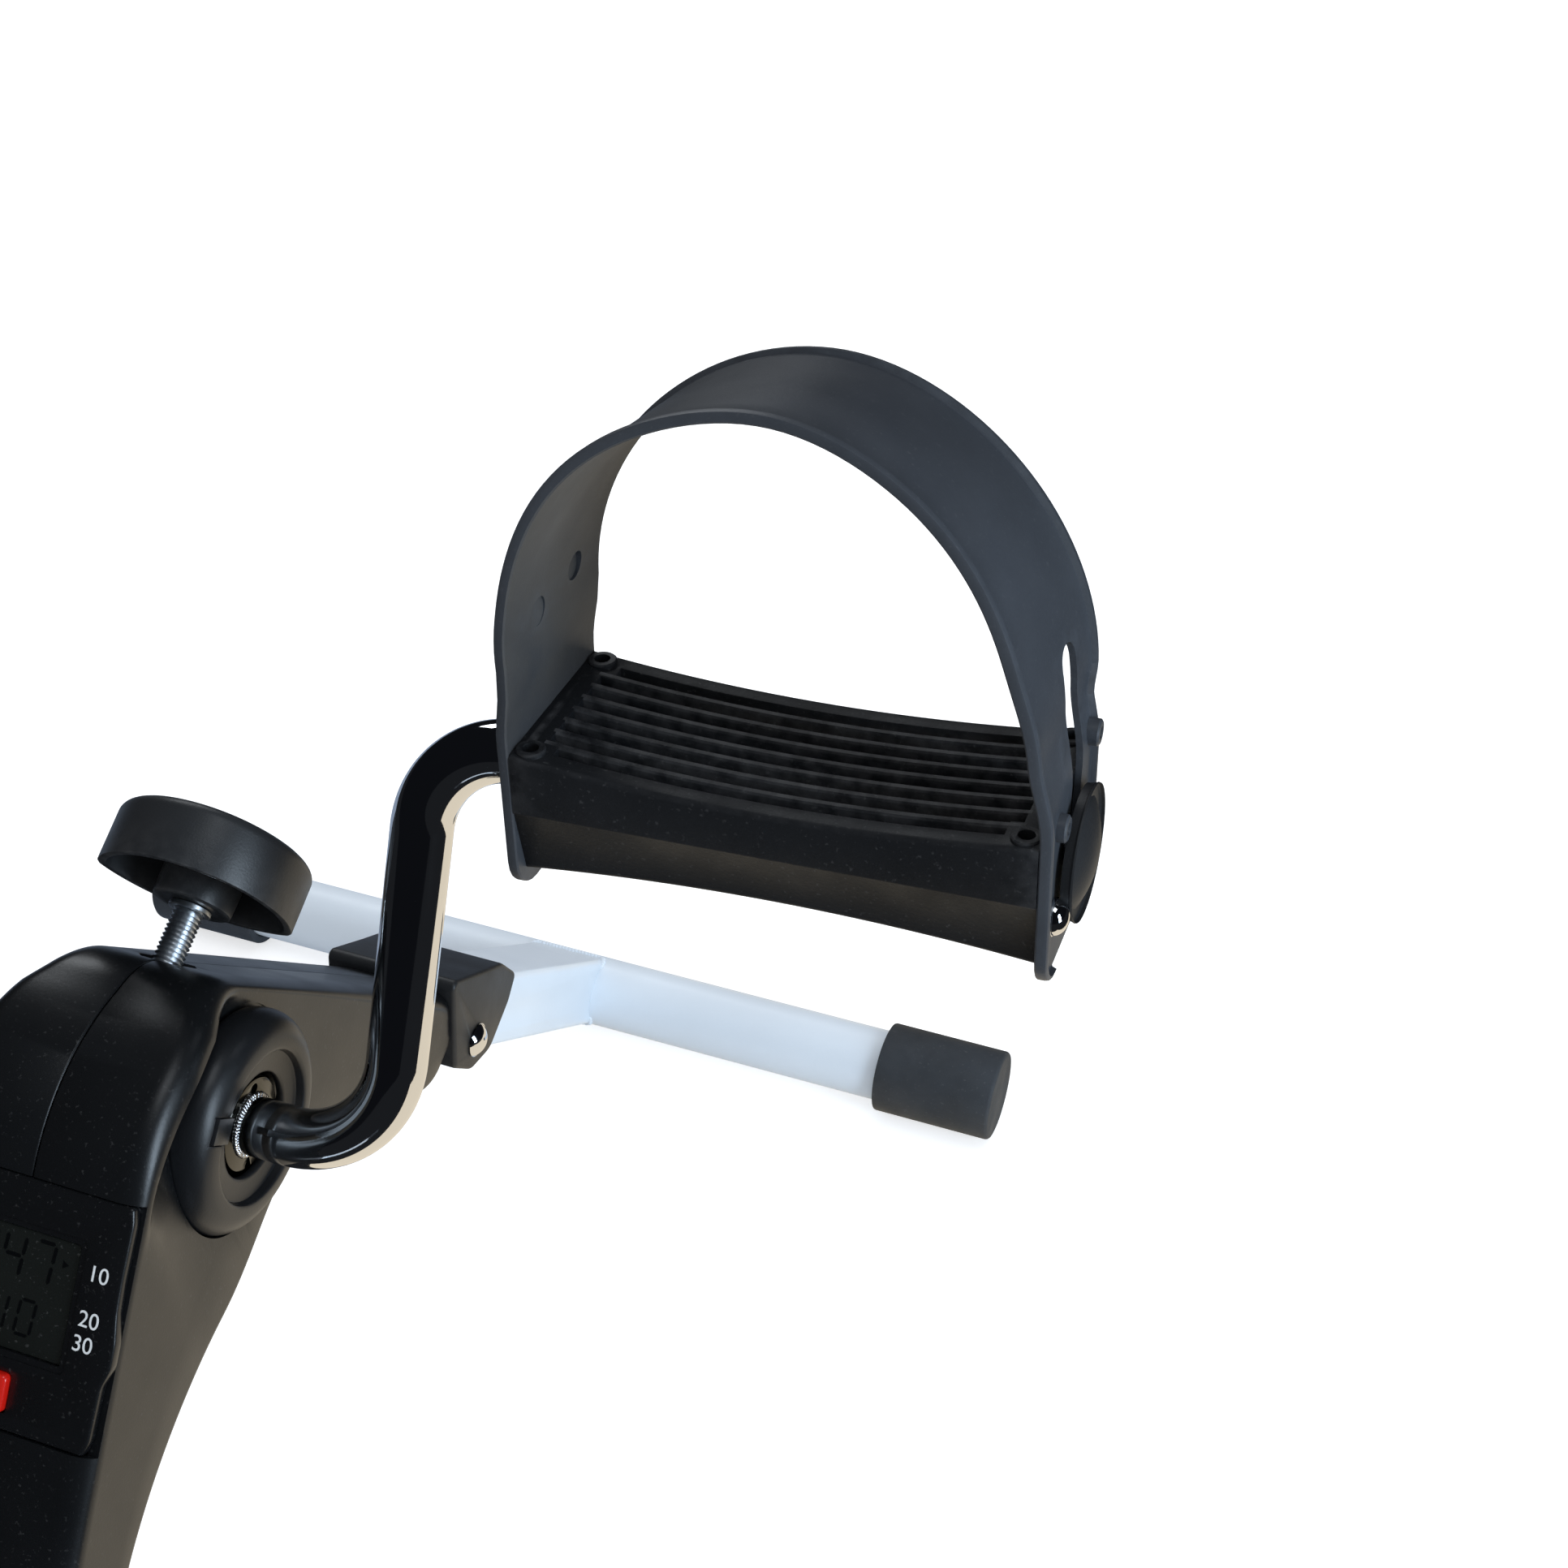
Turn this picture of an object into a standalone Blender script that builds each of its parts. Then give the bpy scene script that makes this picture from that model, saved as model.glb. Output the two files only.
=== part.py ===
# Mini exercise bike: a pedal exerciser that stands on the floor, with folding stands front and rear.
# X runs along the hub axis, Y points to the rear, Z up; the floor is z = 0, midway between the stands.
# All sizes are millimetres and are turned to metres when a mesh is made.
from math import acos, atan2, cos, degrees, hypot, pi, radians, sin, sqrt, tan

import bmesh
import bpy
from mathutils import Matrix, Vector

MM = 0.001
GAP = 0.3                       # clearance between neighbouring pieces

# Hub and cranks
HUB_Z = 192.2
CRANK_THROW = 112.0
CRANK_PLANE = 66.9              # distance of the crank arm from the middle plane
CRANK_LEAN = radians(25.3)      # the right arm leans this far to the rear of upright
ROD_R = 7.7
SPINDLE_CANT = radians(3.3)     # the last bend is a little short of square
ROOT_BEND_R = 28.0
TOP_BEND_R = 24.0
JOURNAL_END = 152.0             # the spindle is full size up to here, measured from the arm
STUB_R = 4.0
STUB_END = 159.2

# Pedal, measured from the crank arm along the spindle
PEDAL_IN, PEDAL_OUT = 32.6, 153.6
PEDAL_HALF = 25.0
PEDAL_FOOT_HALF = 21.0
PEDAL_PITCH = radians(-6.6)
SLOT_COUNT = 8
SLOT_PITCH = 5.3
SLOT_WIDTH = 3.1
SLOT_INSET = 10.5
STRAP_THICK = 2.2
STRAP_R = 60.8                  # inner radius of the strap's arch
STRAP_SPRING = 37.0             # height of the arch's centre over the spindle
STRAP_FOOT = -22.3
STRAP_TUCK = 2.5                # the legs draw in by this much at the arch's spring
STRAP_FLARE = 3.5               # the near edge of the arch stands this far outside the far edge
RIVET_SPOT = (-16.5, -6.5)

# Housing, as an inverted V seen from the side
LEG_TILT = radians(52.3)        # slope of the front leg's face
LEG_OFFSET = 50.7               # distance of that face from the hub
ARM_TILT = radians(45.0)
CREST_Z = 234.3
NOSE_R = 50.0
CROWN_R = 20.0
ARCH_R = 117.2
ARCH_Z = 34.3                   # height of the arch's centre
WALL = 2.5
SLIM_HALF = 20.5                # half width at the hub and along the rear arm
WIDE_HALF = 30.0                # half width at the console
EDGE_R = 7.0
SEAM = 0.15                     # half the gap between the housing's two halves
BOSS_ANGLES = (-44.0, -20.0, 20.0, 44.0)

# Tension knob and screw
SCREW_SPOT = (0.0, 11.7, 222.1)
SCREW_TILT = radians(62.8)
SCREW_R = 4.0
SCREW_TIP = -14.3
DRUM_R = 14.0
BRAKE_TRAVEL = 2.5
BRAKE_SLANT = radians(45.0)     # the shoe's face leans this far from square to the screw
KNOB_HALF, KNOB_DEEP, KNOB_SHALLOW = 26.2, 31.6, 14.1
KNOB_MOUTH, KNOB_ROOF = 23.6, 40.5
KNOB_TURN = radians(27.0)       # the knob's chord stands this far round from the hub axis

# Stands
PIVOT_Y, PIVOT_Z = 126.0, 97.0
TUBE_Y, TUBE_Z = 232.0, 16.0
TUBE_R = 12.7
CAP_R = 16.0
CAP_IN, CAP_OUT = 125.4, 168.0
STEM_SLOPE = radians(39.6)
STEM_HALF = 15.0
STEM_THICK = 24.5
CHEEK_OUT, CHEEK_IN = 22.0, 15.5
BOLT_R = 3.0

# Console
PANEL_TOP, PANEL_BOTTOM = -12.9, -74.6
PANEL_THICK = 3.0
WINDOW_HALF = 16.4
WINDOW_TOP, WINDOW_BOTTOM = -25.2, -55.4
BUTTON_Y = -65.4
BUTTON_HALF = (4.4, 4.8)

PAINTS = {
    "housing_plastic": ((0.018, 0.019, 0.022), 0.38, 0.0),
    "pedal_plastic": ((0.022, 0.023, 0.027), 0.5, 0.0),
    "strap_plastic": ((0.020, 0.021, 0.025), 0.45, 0.0),
    "cap_rubber": ((0.025, 0.026, 0.028), 0.75, 0.0),
    "chrome": ((0.78, 0.78, 0.78), 0.08, 1.0),
    "zinc": ((0.62, 0.64, 0.66), 0.3, 1.0),
    "steel": ((0.45, 0.45, 0.46), 0.4, 1.0),
    "white_paint": ((0.74, 0.80, 0.86), 0.42, 0.0),
    "screen_glass": ((0.030, 0.034, 0.036), 0.15, 0.0),
    "red_plastic": ((0.75, 0.02, 0.01), 0.3, 0.0),
    "board_green": ((0.02, 0.16, 0.06), 0.5, 0.0),
    "bush_nylon": ((0.75, 0.73, 0.66), 0.5, 0.0),
    "felt": ((0.30, 0.16, 0.08), 0.9, 0.0),
}


def clear_scene():
    for thing in list(bpy.data.objects):
        bpy.data.objects.remove(thing, do_unlink=True)


def make_paint(name):
    colour, roughness, metallic = PAINTS[name]
    paint = bpy.data.materials.get(name) or bpy.data.materials.new(name)
    paint.use_nodes = True
    shader = paint.node_tree.nodes["Principled BSDF"]
    shader.inputs["Base Color"].default_value = (*colour, 1.0)
    shader.inputs["Roughness"].default_value = roughness
    shader.inputs["Metallic"].default_value = metallic
    return paint


# Placing

def make_pivot(name, spot, rotation=None, parent=None):
    pivot = bpy.data.objects.new(name, None)
    pivot.empty_display_size = 0.02
    bpy.context.scene.collection.objects.link(pivot)
    turn = rotation.to_4x4() if rotation else Matrix.Identity(4)
    pivot.matrix_basis = Matrix.Translation(Vector(spot) * MM) @ turn
    pivot.parent = parent
    return pivot


def make_object(name, shape, paint, pivot=None, smooth=35.0):
    verts, faces = shape
    mesh = bpy.data.meshes.new(name)
    mesh.from_pydata([Vector(vert) * MM for vert in verts], [], faces)
    shell = bmesh.new()
    shell.from_mesh(mesh)
    bmesh.ops.remove_doubles(shell, verts=shell.verts, dist=1e-7)
    bmesh.ops.recalc_face_normals(shell, faces=shell.faces)
    shell.to_mesh(mesh)
    shell.free()
    mesh.shade_smooth()
    mesh.set_sharp_from_angle(angle=radians(smooth))
    thing = bpy.data.objects.new(name, mesh)
    bpy.context.scene.collection.objects.link(thing)
    thing.parent = pivot
    if paint:
        mesh.materials.append(make_paint(paint))
    return thing


def combine(target, shapes, operation="DIFFERENCE"):
    # Cuts the given shapes out of the target, or joins them to it, all in one step.
    verts, faces = merge(shapes)
    helper = make_object(target.name + "_helper", (verts, faces), None, target.parent)
    helper.hide_render = True
    helper.display_type = "WIRE"
    step = target.modifiers.new(operation.title(), "BOOLEAN")
    step.operation = operation
    step.solver = "EXACT"
    step.object = helper
    return helper


def soften(target, width, segments=2):
    step = target.modifiers.new("Bevel", "BEVEL")
    step.width = width * MM
    step.segments = segments
    step.limit_method = "ANGLE"
    step.angle_limit = radians(40)


# Shapes: each is a pair of vertices and faces

def merge(shapes):
    verts, faces = [], []
    for some_verts, some_faces in shapes:
        start = len(verts)
        verts.extend(some_verts)
        faces.extend([tuple(start + index for index in face) for face in some_faces])
    return verts, faces


def moved(shape, matrix):
    return [tuple(matrix @ Vector(vert)) for vert in shape[0]], shape[1]


def flipped(shape, side):
    return [(side * x, y, z) for x, y, z in shape[0]], shape[1]


def loft(rings, closed=False):
    # Skin over rings of points, with flat ends, or joined end to end.
    count = len(rings[0])
    verts = [point for ring in rings for point in ring]
    faces = []
    spans = len(rings) if closed else len(rings) - 1
    for row in range(spans):
        a, b = row * count, (row + 1) % len(rings) * count
        for i in range(count):
            j = (i + 1) % count
            faces.append((a + i, a + j, b + j, b + i))
    if not closed:
        faces.append(tuple(range(count)))
        faces.append(tuple(range((len(rings) - 1) * count, len(rings) * count)))
    return verts, faces


def turned(profile, sides=24, closed=False, phase=0.0):
    # A profile of (x, radius) turned about the X axis. A closed profile makes a ring with a bore.
    rings = []
    for x, radius in profile:
        steps = [2 * pi * (i + phase) / sides for i in range(sides)]
        rings.append([(x, radius * sin(a), radius * cos(a)) for a in steps])
    return loft(rings, closed)


def rod_x(radius, start, end, y=0.0, z=0.0, sides=16):
    verts, faces = turned([(start, radius), (end, radius)], sides)
    return [(x, py + y, pz + z) for x, py, pz in verts], faces


def upright(shape):
    # Turns a shape made about X to stand about Z.
    return [(-z, y, x) for x, y, z in shape[0]], shape[1]


def prism(outline, start, end):
    # A side outline of (y, z) points, carried from x = start to x = end.
    return loft([[(x, y, z) for y, z in outline] for x in (start, end)])


def box(low, high):
    outline = [(low[1], low[2]), (high[1], low[2]), (high[1], high[2]), (low[1], high[2])]
    return prism(outline, low[0], high[0])


def rounded(corners, step=15.0, closed=True):
    # Outline through corners (a, b, radius); a round corner is an arc of short chords.
    points = []
    count = len(corners)
    for i, (a, b, radius) in enumerate(corners):
        if radius == 0 or (not closed and i in (0, count - 1)):
            points.append((a, b))
            continue
        spot = Vector((a, b))
        back = (Vector(corners[i - 1][:2]) - spot).normalized()
        ahead = (Vector(corners[(i + 1) % count][:2]) - spot).normalized()
        half = acos(max(-1.0, min(1.0, back.dot(ahead)))) / 2
        centre = spot + (back + ahead).normalized() * (radius / sin(half))
        first = spot + back * (radius / tan(half)) - centre
        turn = pi - 2 * half
        sense = 1.0 if back.x * ahead.y - back.y * ahead.x < 0 else -1.0
        steps = max(1, round(degrees(turn) / step))
        for k in range(steps + 1):
            angle = sense * turn * k / steps
            x = centre.x + first.x * cos(angle) - first.y * sin(angle)
            y = centre.y + first.x * sin(angle) + first.y * cos(angle)
            points.append((x, y))
    return points


def spread(path, count):
    # Evenly spaced points along an open path.
    lengths = [0.0]
    for (a, b), (c, d) in zip(path, path[1:]):
        lengths.append(lengths[-1] + hypot(c - a, d - b))
    points = []
    for i in range(count):
        mark = lengths[-1] * i / (count - 1)
        k = max(n for n in range(len(path) - 1) if lengths[n] <= mark + 1e-9)
        share = (mark - lengths[k]) / (lengths[k + 1] - lengths[k])
        (a, b), (c, d) = path[k], path[k + 1]
        points.append((a + (c - a) * share, b + (d - b) * share))
    return points


def swept(path, radii, sides=12):
    # A round rod along a path of (x, z) points in the plane y = 0.
    rings = []
    for i, (x, z) in enumerate(path):
        back = path[max(0, i - 1)]
        ahead = path[min(len(path) - 1, i + 1)]
        run = Vector((ahead[0] - back[0], ahead[1] - back[1])).normalized()
        ring = []
        for k in range(sides):
            a = 2 * pi * k / sides
            out = radii[i] * cos(a)
            ring.append((x - run.y * out, radii[i] * sin(a), z + run.x * out))
        rings.append(ring)
    return loft(rings)


def rise(value, low, high):
    share = max(0.0, min(1.0, (value - low) / (high - low)))
    return share * share * (3 - 2 * share)


# Housing

def leg_point(along, depth=0.0):
    # A point of the side view, along the front leg's face and below it.
    reach = LEG_OFFSET - depth
    y = -reach * sin(LEG_TILT) + along * cos(LEG_TILT)
    z = HUB_Z + reach * cos(LEG_TILT) + along * sin(LEG_TILT)
    return y, z


def housing_outer_path():
    nose_z = CREST_Z - NOSE_R
    nose_y = -(LEG_OFFSET - NOSE_R - (nose_z - HUB_Z) * cos(LEG_TILT)) / sin(LEG_TILT)
    crown_y = -0.3
    crown_z = CREST_Z - CROWN_R
    path = [leg_point(mark) for mark in (-123.5, -118, -110, -101, -88, -60, -30)]
    for k in range(5):
        a = LEG_TILT * (4 - k) / 4
        path.append((nose_y - NOSE_R * sin(a), nose_z + NOSE_R * cos(a)))
    for k in range(3):
        a = ARM_TILT * k / 2
        path.append((crown_y + CROWN_R * sin(a), crown_z + CROWN_R * cos(a)))
    start_y, start_z = path[-1]
    for mark in (30, 82, 103, 118, 132, 144):
        path.append((start_y + mark * cos(ARM_TILT), start_z - mark * sin(ARM_TILT)))
    return path


def housing_under_path():
    arch = [radians(a) for a in (-46.5, -37, -28, -21, -14, -7, 0, 7, 14, 21, 28, 37, 46.5)]
    middle = [(ARCH_R * sin(a), ARCH_Z + ARCH_R * cos(a)) for a in arch]
    toe_y, toe_z, toe_r = 100.8, 114.1, 12.0
    toe = [radians(a) for a in (-45, -15, 15)]
    rear = [(toe_y + toe_r * sin(a), toe_z - toe_r * cos(a)) for a in toe]
    rear.append((111.5, 105.8))
    front = [(-y, z) for y, z in reversed(rear)]
    return front + middle + rear


def housing_section(outer, under, edge_half, side_half, inset):
    # One slice of a half shell, from the seam on top, round the side, to the seam below.
    run = Vector((under[0] - outer[0], under[1] - outer[1]))
    length = run.length
    run.normalize()
    radius = EDGE_R - inset
    edge = edge_half - inset
    side = side_half - inset
    slope_end = 11.5
    spots = [(SEAM, inset), (edge - radius, inset)]
    for a in (45, 90):
        turn = radians(a)
        spots.append((edge - radius + radius * sin(turn), inset + radius - radius * cos(turn)))
    spots.append(((edge + side) / 2, (EDGE_R + slope_end) / 2))
    spots.append((side, slope_end))
    low_r = 3.2 - inset
    low = length - inset
    spots.append((side, low - low_r))
    spots.append((side - low_r, low))
    spots.append((SEAM, low))
    return [(x, outer[0] + run.x * d, outer[1] + run.y * d) for x, d in spots]


def housing_half(side):
    name = "housing_right" if side > 0 else "housing_left"
    rings = []
    for i, (outer, under) in enumerate(zip(housing_outer_path(), housing_under_path())):
        swell = WIDE_HALF - SLIM_HALF
        edge = SLIM_HALF + swell * (rise(i, 0, 2.6) - rise(i, 9.5, 14))
        flank = SLIM_HALF + swell * (rise(i, 0, 2.6) - rise(i, 6.6, 8))
        skin = housing_section(outer, under, edge, flank, 0.0)
        lining = housing_section(outer, under, edge, flank, WALL)
        rings.append(skin + lining[::-1])
    verts, faces = loft(rings)
    faces = faces[:-2]
    half = len(rings[0]) // 2
    for start in (0, (len(rings) - 1) * 2 * half):
        for i in range(half - 1):
            last = 2 * half - 1
            faces.append((start + i, start + i + 1, start + last - i - 1, start + last - i))
    shell = make_object(name, flipped((verts, faces), side), "housing_plastic")
    bosses = []
    bores = []
    for angle in BOSS_ANGLES:
        y, z = boss_spot(angle)
        wall = WIDE_HALF if angle < -40 else SLIM_HALF + (4.0 if angle < 0 else 0.0)
        bosses.append(rod_x(3.6, SEAM, wall - 1.2, y, z, 8))
        bore = [(-1.0, 1.9), (14.0, 1.9)]
        if side < 0:
            bore = [(-1.0, 1.9), (wall - 2.3, 1.9), (wall - 2.3, 3.4), (60.0, 3.4)]
        bores.append(moved(turned(bore, 8), Matrix.Translation((0, y, z))))
    combine(shell, [flipped(boss, side) for boss in bosses], "UNION")
    hub_hole = rod_x(13.0, 8.0, 45.0, 0.0, HUB_Z, 16)
    combine(shell, [flipped(shape, side) for shape in bores + [hub_hole]])
    combine(shell, [console_recess(), screw_slot()])
    return shell


def boss_spot(angle):
    reach = ARCH_R + WALL + 2.3
    return reach * sin(radians(angle)), ARCH_Z + reach * cos(radians(angle))


def console_recess():
    # The seat of the console, open to both sides of the leg.
    low, high, floor = PANEL_BOTTOM - GAP, PANEL_TOP + GAP, PANEL_THICK + GAP
    corners = [leg_point(low, floor), leg_point(high, floor), leg_point(high, -6.0), leg_point(low, -6.0)]
    return prism(corners, -40, 40)


def screw_slot():
    shape = box((-8.5, -5.5, -9), (8.5, 5.5, 9))
    return moved(shape, screw_matrix())


def screw_matrix():
    return Matrix.Translation(SCREW_SPOT) @ Matrix.Rotation(-SCREW_TILT, 4, "X")


def housing_screw(number, angle):
    y, z = boss_spot(angle)
    wall = WIDE_HALF if angle < -40 else SLIM_HALF + (4.0 if angle < 0 else 0.0)
    head = wall - 2.0
    profile = [(-head - 1.8, 2.4), (-head - 1.2, 3.0), (-head, 3.0), (-head, 1.5), (13.2, 1.5)]
    screw = make_object("housing_screw_%d" % number, turned(profile, 8), "zinc")
    screw.location = Vector((0, y, z)) * MM


def spine_frame():
    # Inner steel channel, open below, that carries the bearings and plugs into both saddles.
    top = [(-114.5, 120.0, 0), (-80, 138.5, 15), (-24.5, 212.0, 12)]
    top += [(-12, 229, 6), (4.9, 229, 4), (114.5, 119.4, 0)]
    low_r = ARCH_R + WALL + 2.3 + 3.6 + 0.6
    arch = [(low_r * sin(radians(a)), ARCH_Z + low_r * cos(radians(a))) for a in range(-25, 26, 5)]
    low = [(-114.2, 110.5), (-80, 129.5)] + arch + [(80, 129.5), (114.2, 110.5)]
    count = 17
    half, plate = 14.5, 2.0
    rings = []
    for (oy, oz), (uy, uz) in zip(spread(rounded(top, 15, False), count), spread(low, count)):
        run = Vector((uy - oy, uz - oz)).normalized()
        iy, iz = oy + run.x * plate, oz + run.y * plate
        lined = half - plate
        ring = [(half, uy, uz), (half, oy, oz), (-half, oy, oz), (-half, uy, uz)]
        ring += [(-lined, uy, uz), (-lined, iy, iz), (lined, iy, iz), (lined, uy, uz)]
        rings.append(ring)
    verts, faces = loft(rings)
    faces = faces[:-2]
    for start in (0, (count - 1) * 8):
        faces += [tuple(start + i for i in quad) for quad in ((0, 1, 6, 7), (1, 2, 5, 6), (2, 3, 4, 5))]
    spine = make_object("spine_frame", (verts, faces), "steel", None, 30)
    # A seat for the tension nut under the web, and the screw's way through it.
    seat = turned([(-16, 8.2), (-4.6, 8.2), (-4.6, 4.7), (6, 4.7)], 16)
    combine(spine, [rod_x(11.4, -30, 30, 0, HUB_Z, 24), moved(upright(seat), screw_matrix())])


def spine_plug(grow):
    # Outline of the spine's end, for its pocket in a saddle.
    end = 114.6 + grow
    return [(104, 107.0 - grow), (end, 109.9 - grow), (end, 120.2 + grow), (104, 130.5 + grow)]


def bearing(side):
    name = "bearing_right" if side > 0 else "bearing_left"
    profile = [(10.5, 8.1), (10.5, 13.2), (12.2, 13.2), (12.2, 11.0), (17.7, 11.0), (17.7, 8.1)]
    bush = make_object(name, flipped(turned(profile, 16, True), side), "bush_nylon")
    bush.location.z = HUB_Z * MM


def hub_cover(side):
    # A thick ring with a big round outer edge and a stepped recess round its hole.
    name = "hub_cover_right" if side > 0 else "hub_cover_left"
    base = SLIM_HALF + GAP
    outside = [(base, 29.2), (base + 4.0, 29.5)]
    for a in (25, 50, 75):
        turn = radians(a)
        outside.append((base + 4.0 + 7.2 * sin(turn), 22.3 + 7.2 * cos(turn)))
    rim = [(32.0, 20.5), (30.2, 18.0), (29.6, 14.0)]
    inside = [(27.6, 14.0), (28.6, 21.5), (25.6, 26.6), (base, 26.8)]
    ring = turned(outside + rim + inside, 24, True)
    cover = make_object(name, flipped(ring, side), "housing_plastic", None, 30)
    cover.location.z = HUB_Z * MM
    lug = box((24.5, -3.6, 24.0), (32.2, 3.6, 28.6))
    lug = moved(lug, Matrix.Rotation(radians(46 if side > 0 else 226), 4, "X"))
    helper = combine(cover, [flipped(lug, side)], "UNION")
    helper.location.z = HUB_Z * MM


def tension_nut(pivot):
    nut = make_object("tension_nut", upright(turned([(-9.7, 7.4), (-5.0, 7.4)], 6)), "zinc", pivot)
    combine(nut, [upright(turned([(-20, SCREW_R + GAP), (0, SCREW_R + GAP)], 16))])


# Console on the front leg

def panel_outline(inset=0.0):
    # Half width of the panel down its wavy edge.
    marks = ((-12.9, 28.0), (-17.0, 28.8), (-31.0, 28.6), (-38.6, 28.8), (-46.2, 29.9), (-52.2, 29.9))
    marks += ((-57.2, 28.2), (-70.9, 27.9), (-74.6, 26.6))
    right = [(half - inset, min(PANEL_TOP - inset, max(PANEL_BOTTOM + inset, y))) for y, half in marks]
    return right + [(-x, y) for x, y in reversed(right)]


def flat_ring(outline, height):
    return [(x, y, height) for x, y in outline]


def rectangle(half, low, high):
    return [(half, high), (half, low), (-half, low), (-half, high)]


def console(frame):
    rings = [flat_ring(panel_outline(), -PANEL_THICK), flat_ring(panel_outline(), -0.6)]
    rings.append(flat_ring(panel_outline(0.6), 0.0))
    case = make_object("console_case", loft(rings), "housing_plastic", frame, 30)
    wall = [flat_ring(rectangle(20.5, -74.0, -20.5), h) for h in (-PANEL_THICK + 1.0, -9.5)]
    combine(case, [loft(wall)], "UNION")
    hollow = loft([flat_ring(rectangle(18.7, -72.2, -22.3), h) for h in (-PANEL_THICK, -12.0)])
    window = [flat_ring(rectangle(WINDOW_HALF, WINDOW_BOTTOM, WINDOW_TOP), h) for h in (-5.0, 3.0)]
    half_x, half_y = BUTTON_HALF
    low, high = BUTTON_Y - half_y - GAP, BUTTON_Y + half_y + GAP
    gate = [flat_ring(rectangle(half_x + GAP, low, high), h) for h in (-5.0, 3.0)]
    combine(case, [hollow])
    combine(case, [loft(window), loft(gate)])
    flange, snug = 1.4, -GAP
    rings = []
    for grow, height in ((flange, -4.8), (flange, -3.3), (snug, -3.3), (snug, -1.0)):
        outline = rectangle(WINDOW_HALF + grow, WINDOW_BOTTOM - grow, WINDOW_TOP + grow)
        rings.append(flat_ring(outline, height))
    make_object("lcd_screen", loft(rings), "screen_glass", frame, 30)
    board = loft([flat_ring(rectangle(20.5, -74.0, -20.5), h) for h in (-11.4, -9.8)])
    make_object("circuit_board", board, "board_green", frame)
    cell = make_object("battery", upright(turned([(-16.4, 5.8), (-11.7, 5.8)], 20)), "zinc", frame)
    cell.location.y = -45.0 * MM


def reset_button(frame):
    pivot = make_pivot("reset_pivot", (0, BUTTON_Y, 0), None, frame)
    half_x, half_y = BUTTON_HALF
    rings = []
    for grow, height in ((1.0, -5.4), (1.0, -4.9), (0.0, -4.9), (0.0, 1.2), (-0.8, 2.0)):
        rings.append(flat_ring(rectangle(half_x + grow, -half_y - grow, half_y + grow), height))
    make_object("reset_button", loft(rings), "red_plastic", pivot, 30)


def reed_sensor():
    sensor = make_object("reed_sensor", turned([(-12.2, 1.6), (12.2, 1.6)], 10), "screen_glass")
    sensor.location = Vector((0, -DRUM_R - 2.2, HUB_Z)) * MM


# Crank assembly, made in the frame of the crank: Z runs up the right arm

def crank_path():
    # Root, bend, arm, bend and spindle of the rod, in the plane of the crank.
    far = 200.0
    knees = [(CRANK_PLANE - 38.1, 0.0, 0), (CRANK_PLANE, 0.0, ROOT_BEND_R)]
    knees += [(CRANK_PLANE, CRANK_THROW, TOP_BEND_R)]
    knees += [(CRANK_PLANE + far * cos(SPINDLE_CANT), CRANK_THROW + far * sin(SPINDLE_CANT), 0)]
    path = rounded(knees, 16, False)[:-1]
    for mark in (JOURNAL_END, JOURNAL_END + 0.4, STUB_END):
        path.append((CRANK_PLANE + mark * cos(SPINDLE_CANT), CRANK_THROW + mark * sin(SPINDLE_CANT)))
    return path


def crank(side, pivot):
    word = "right" if side > 0 else "left"
    path = crank_path()
    radii = [ROD_R] * (len(path) - 2) + [STUB_R] * 2
    verts, faces = swept(path, radii)
    verts = [(side * x, y, side * z) for x, y, z in verts]
    make_object("crank_" + word, (verts, faces), "chrome", pivot, 40)
    disc = turned([(26.0, 12.5), (28.1, 12.5), (28.5, 12.0)], 16)
    make_object("hub_disc_" + word, flipped(disc, side), "chrome", pivot)
    turn = Matrix.Rotation(-SPINDLE_CANT if side > 0 else pi - SPINDLE_CANT, 3, "Y")
    spindle = make_pivot("spindle_" + word, (side * CRANK_PLANE, 0, side * CRANK_THROW), turn, pivot)
    start = PEDAL_OUT + 2.8
    bore = STUB_R + GAP
    nut = [(start, bore), (start, 8.6), (start + 0.9, 8.8), (start + 1.9, 7.0), (start + 1.9, bore)]
    make_object("spindle_nut_" + word, turned(nut, 16, True), "zinc", spindle)
    dome = [(5.0, 4.0), (4.7, 9.0), (4.1, 13.0), (3.4, 15.4), (2.4, 15.8)]
    dome += [(1.8, 15.2), (1.8, 11.4), (0.0, 10.8), (0.0, 9.6), (3.4, 9.6)]
    dome = [(start + x, radius) for x, radius in dome]
    make_object("spindle_cap_" + word, turned(dome, 16), "pedal_plastic", spindle)


def axle_and_drum(pivot):
    make_object("crank_axle", turned([(-25.7, ROD_R), (25.7, ROD_R)], 20), "steel", pivot)
    profile = [(-10.2, 8.1), (-10.2, DRUM_R), (10.2, DRUM_R), (10.2, 8.1)]
    drum = make_object("friction_drum", turned(profile, 20, True), "steel", pivot)
    pocket = upright(turned([(DRUM_R - 3.1, 2.8), (DRUM_R + 3, 2.8)], 12))
    combine(drum, [pocket])
    magnet = upright(turned([(DRUM_R - 2.8, 2.5), (DRUM_R - 0.4, 2.5)], 12))
    make_object("sensor_magnet", magnet, "steel", pivot)


# Pedal, made in the frame of its spindle: X outward for the right pedal, Z up out of the tread

def pedal_rings(start, end, section, count=5):
    rings = []
    for i in range(count):
        x = start + (end - start) * i / (count - 1)
        share = 2 * (x - PEDAL_IN) / (PEDAL_OUT - PEDAL_IN) - 1
        top = 12.0 + 4.0 * share * share
        low = -14.0 - 3.3 * share * share
        rings.append([(x, y, z) for y, z in section(top, low)])
    return rings


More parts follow.
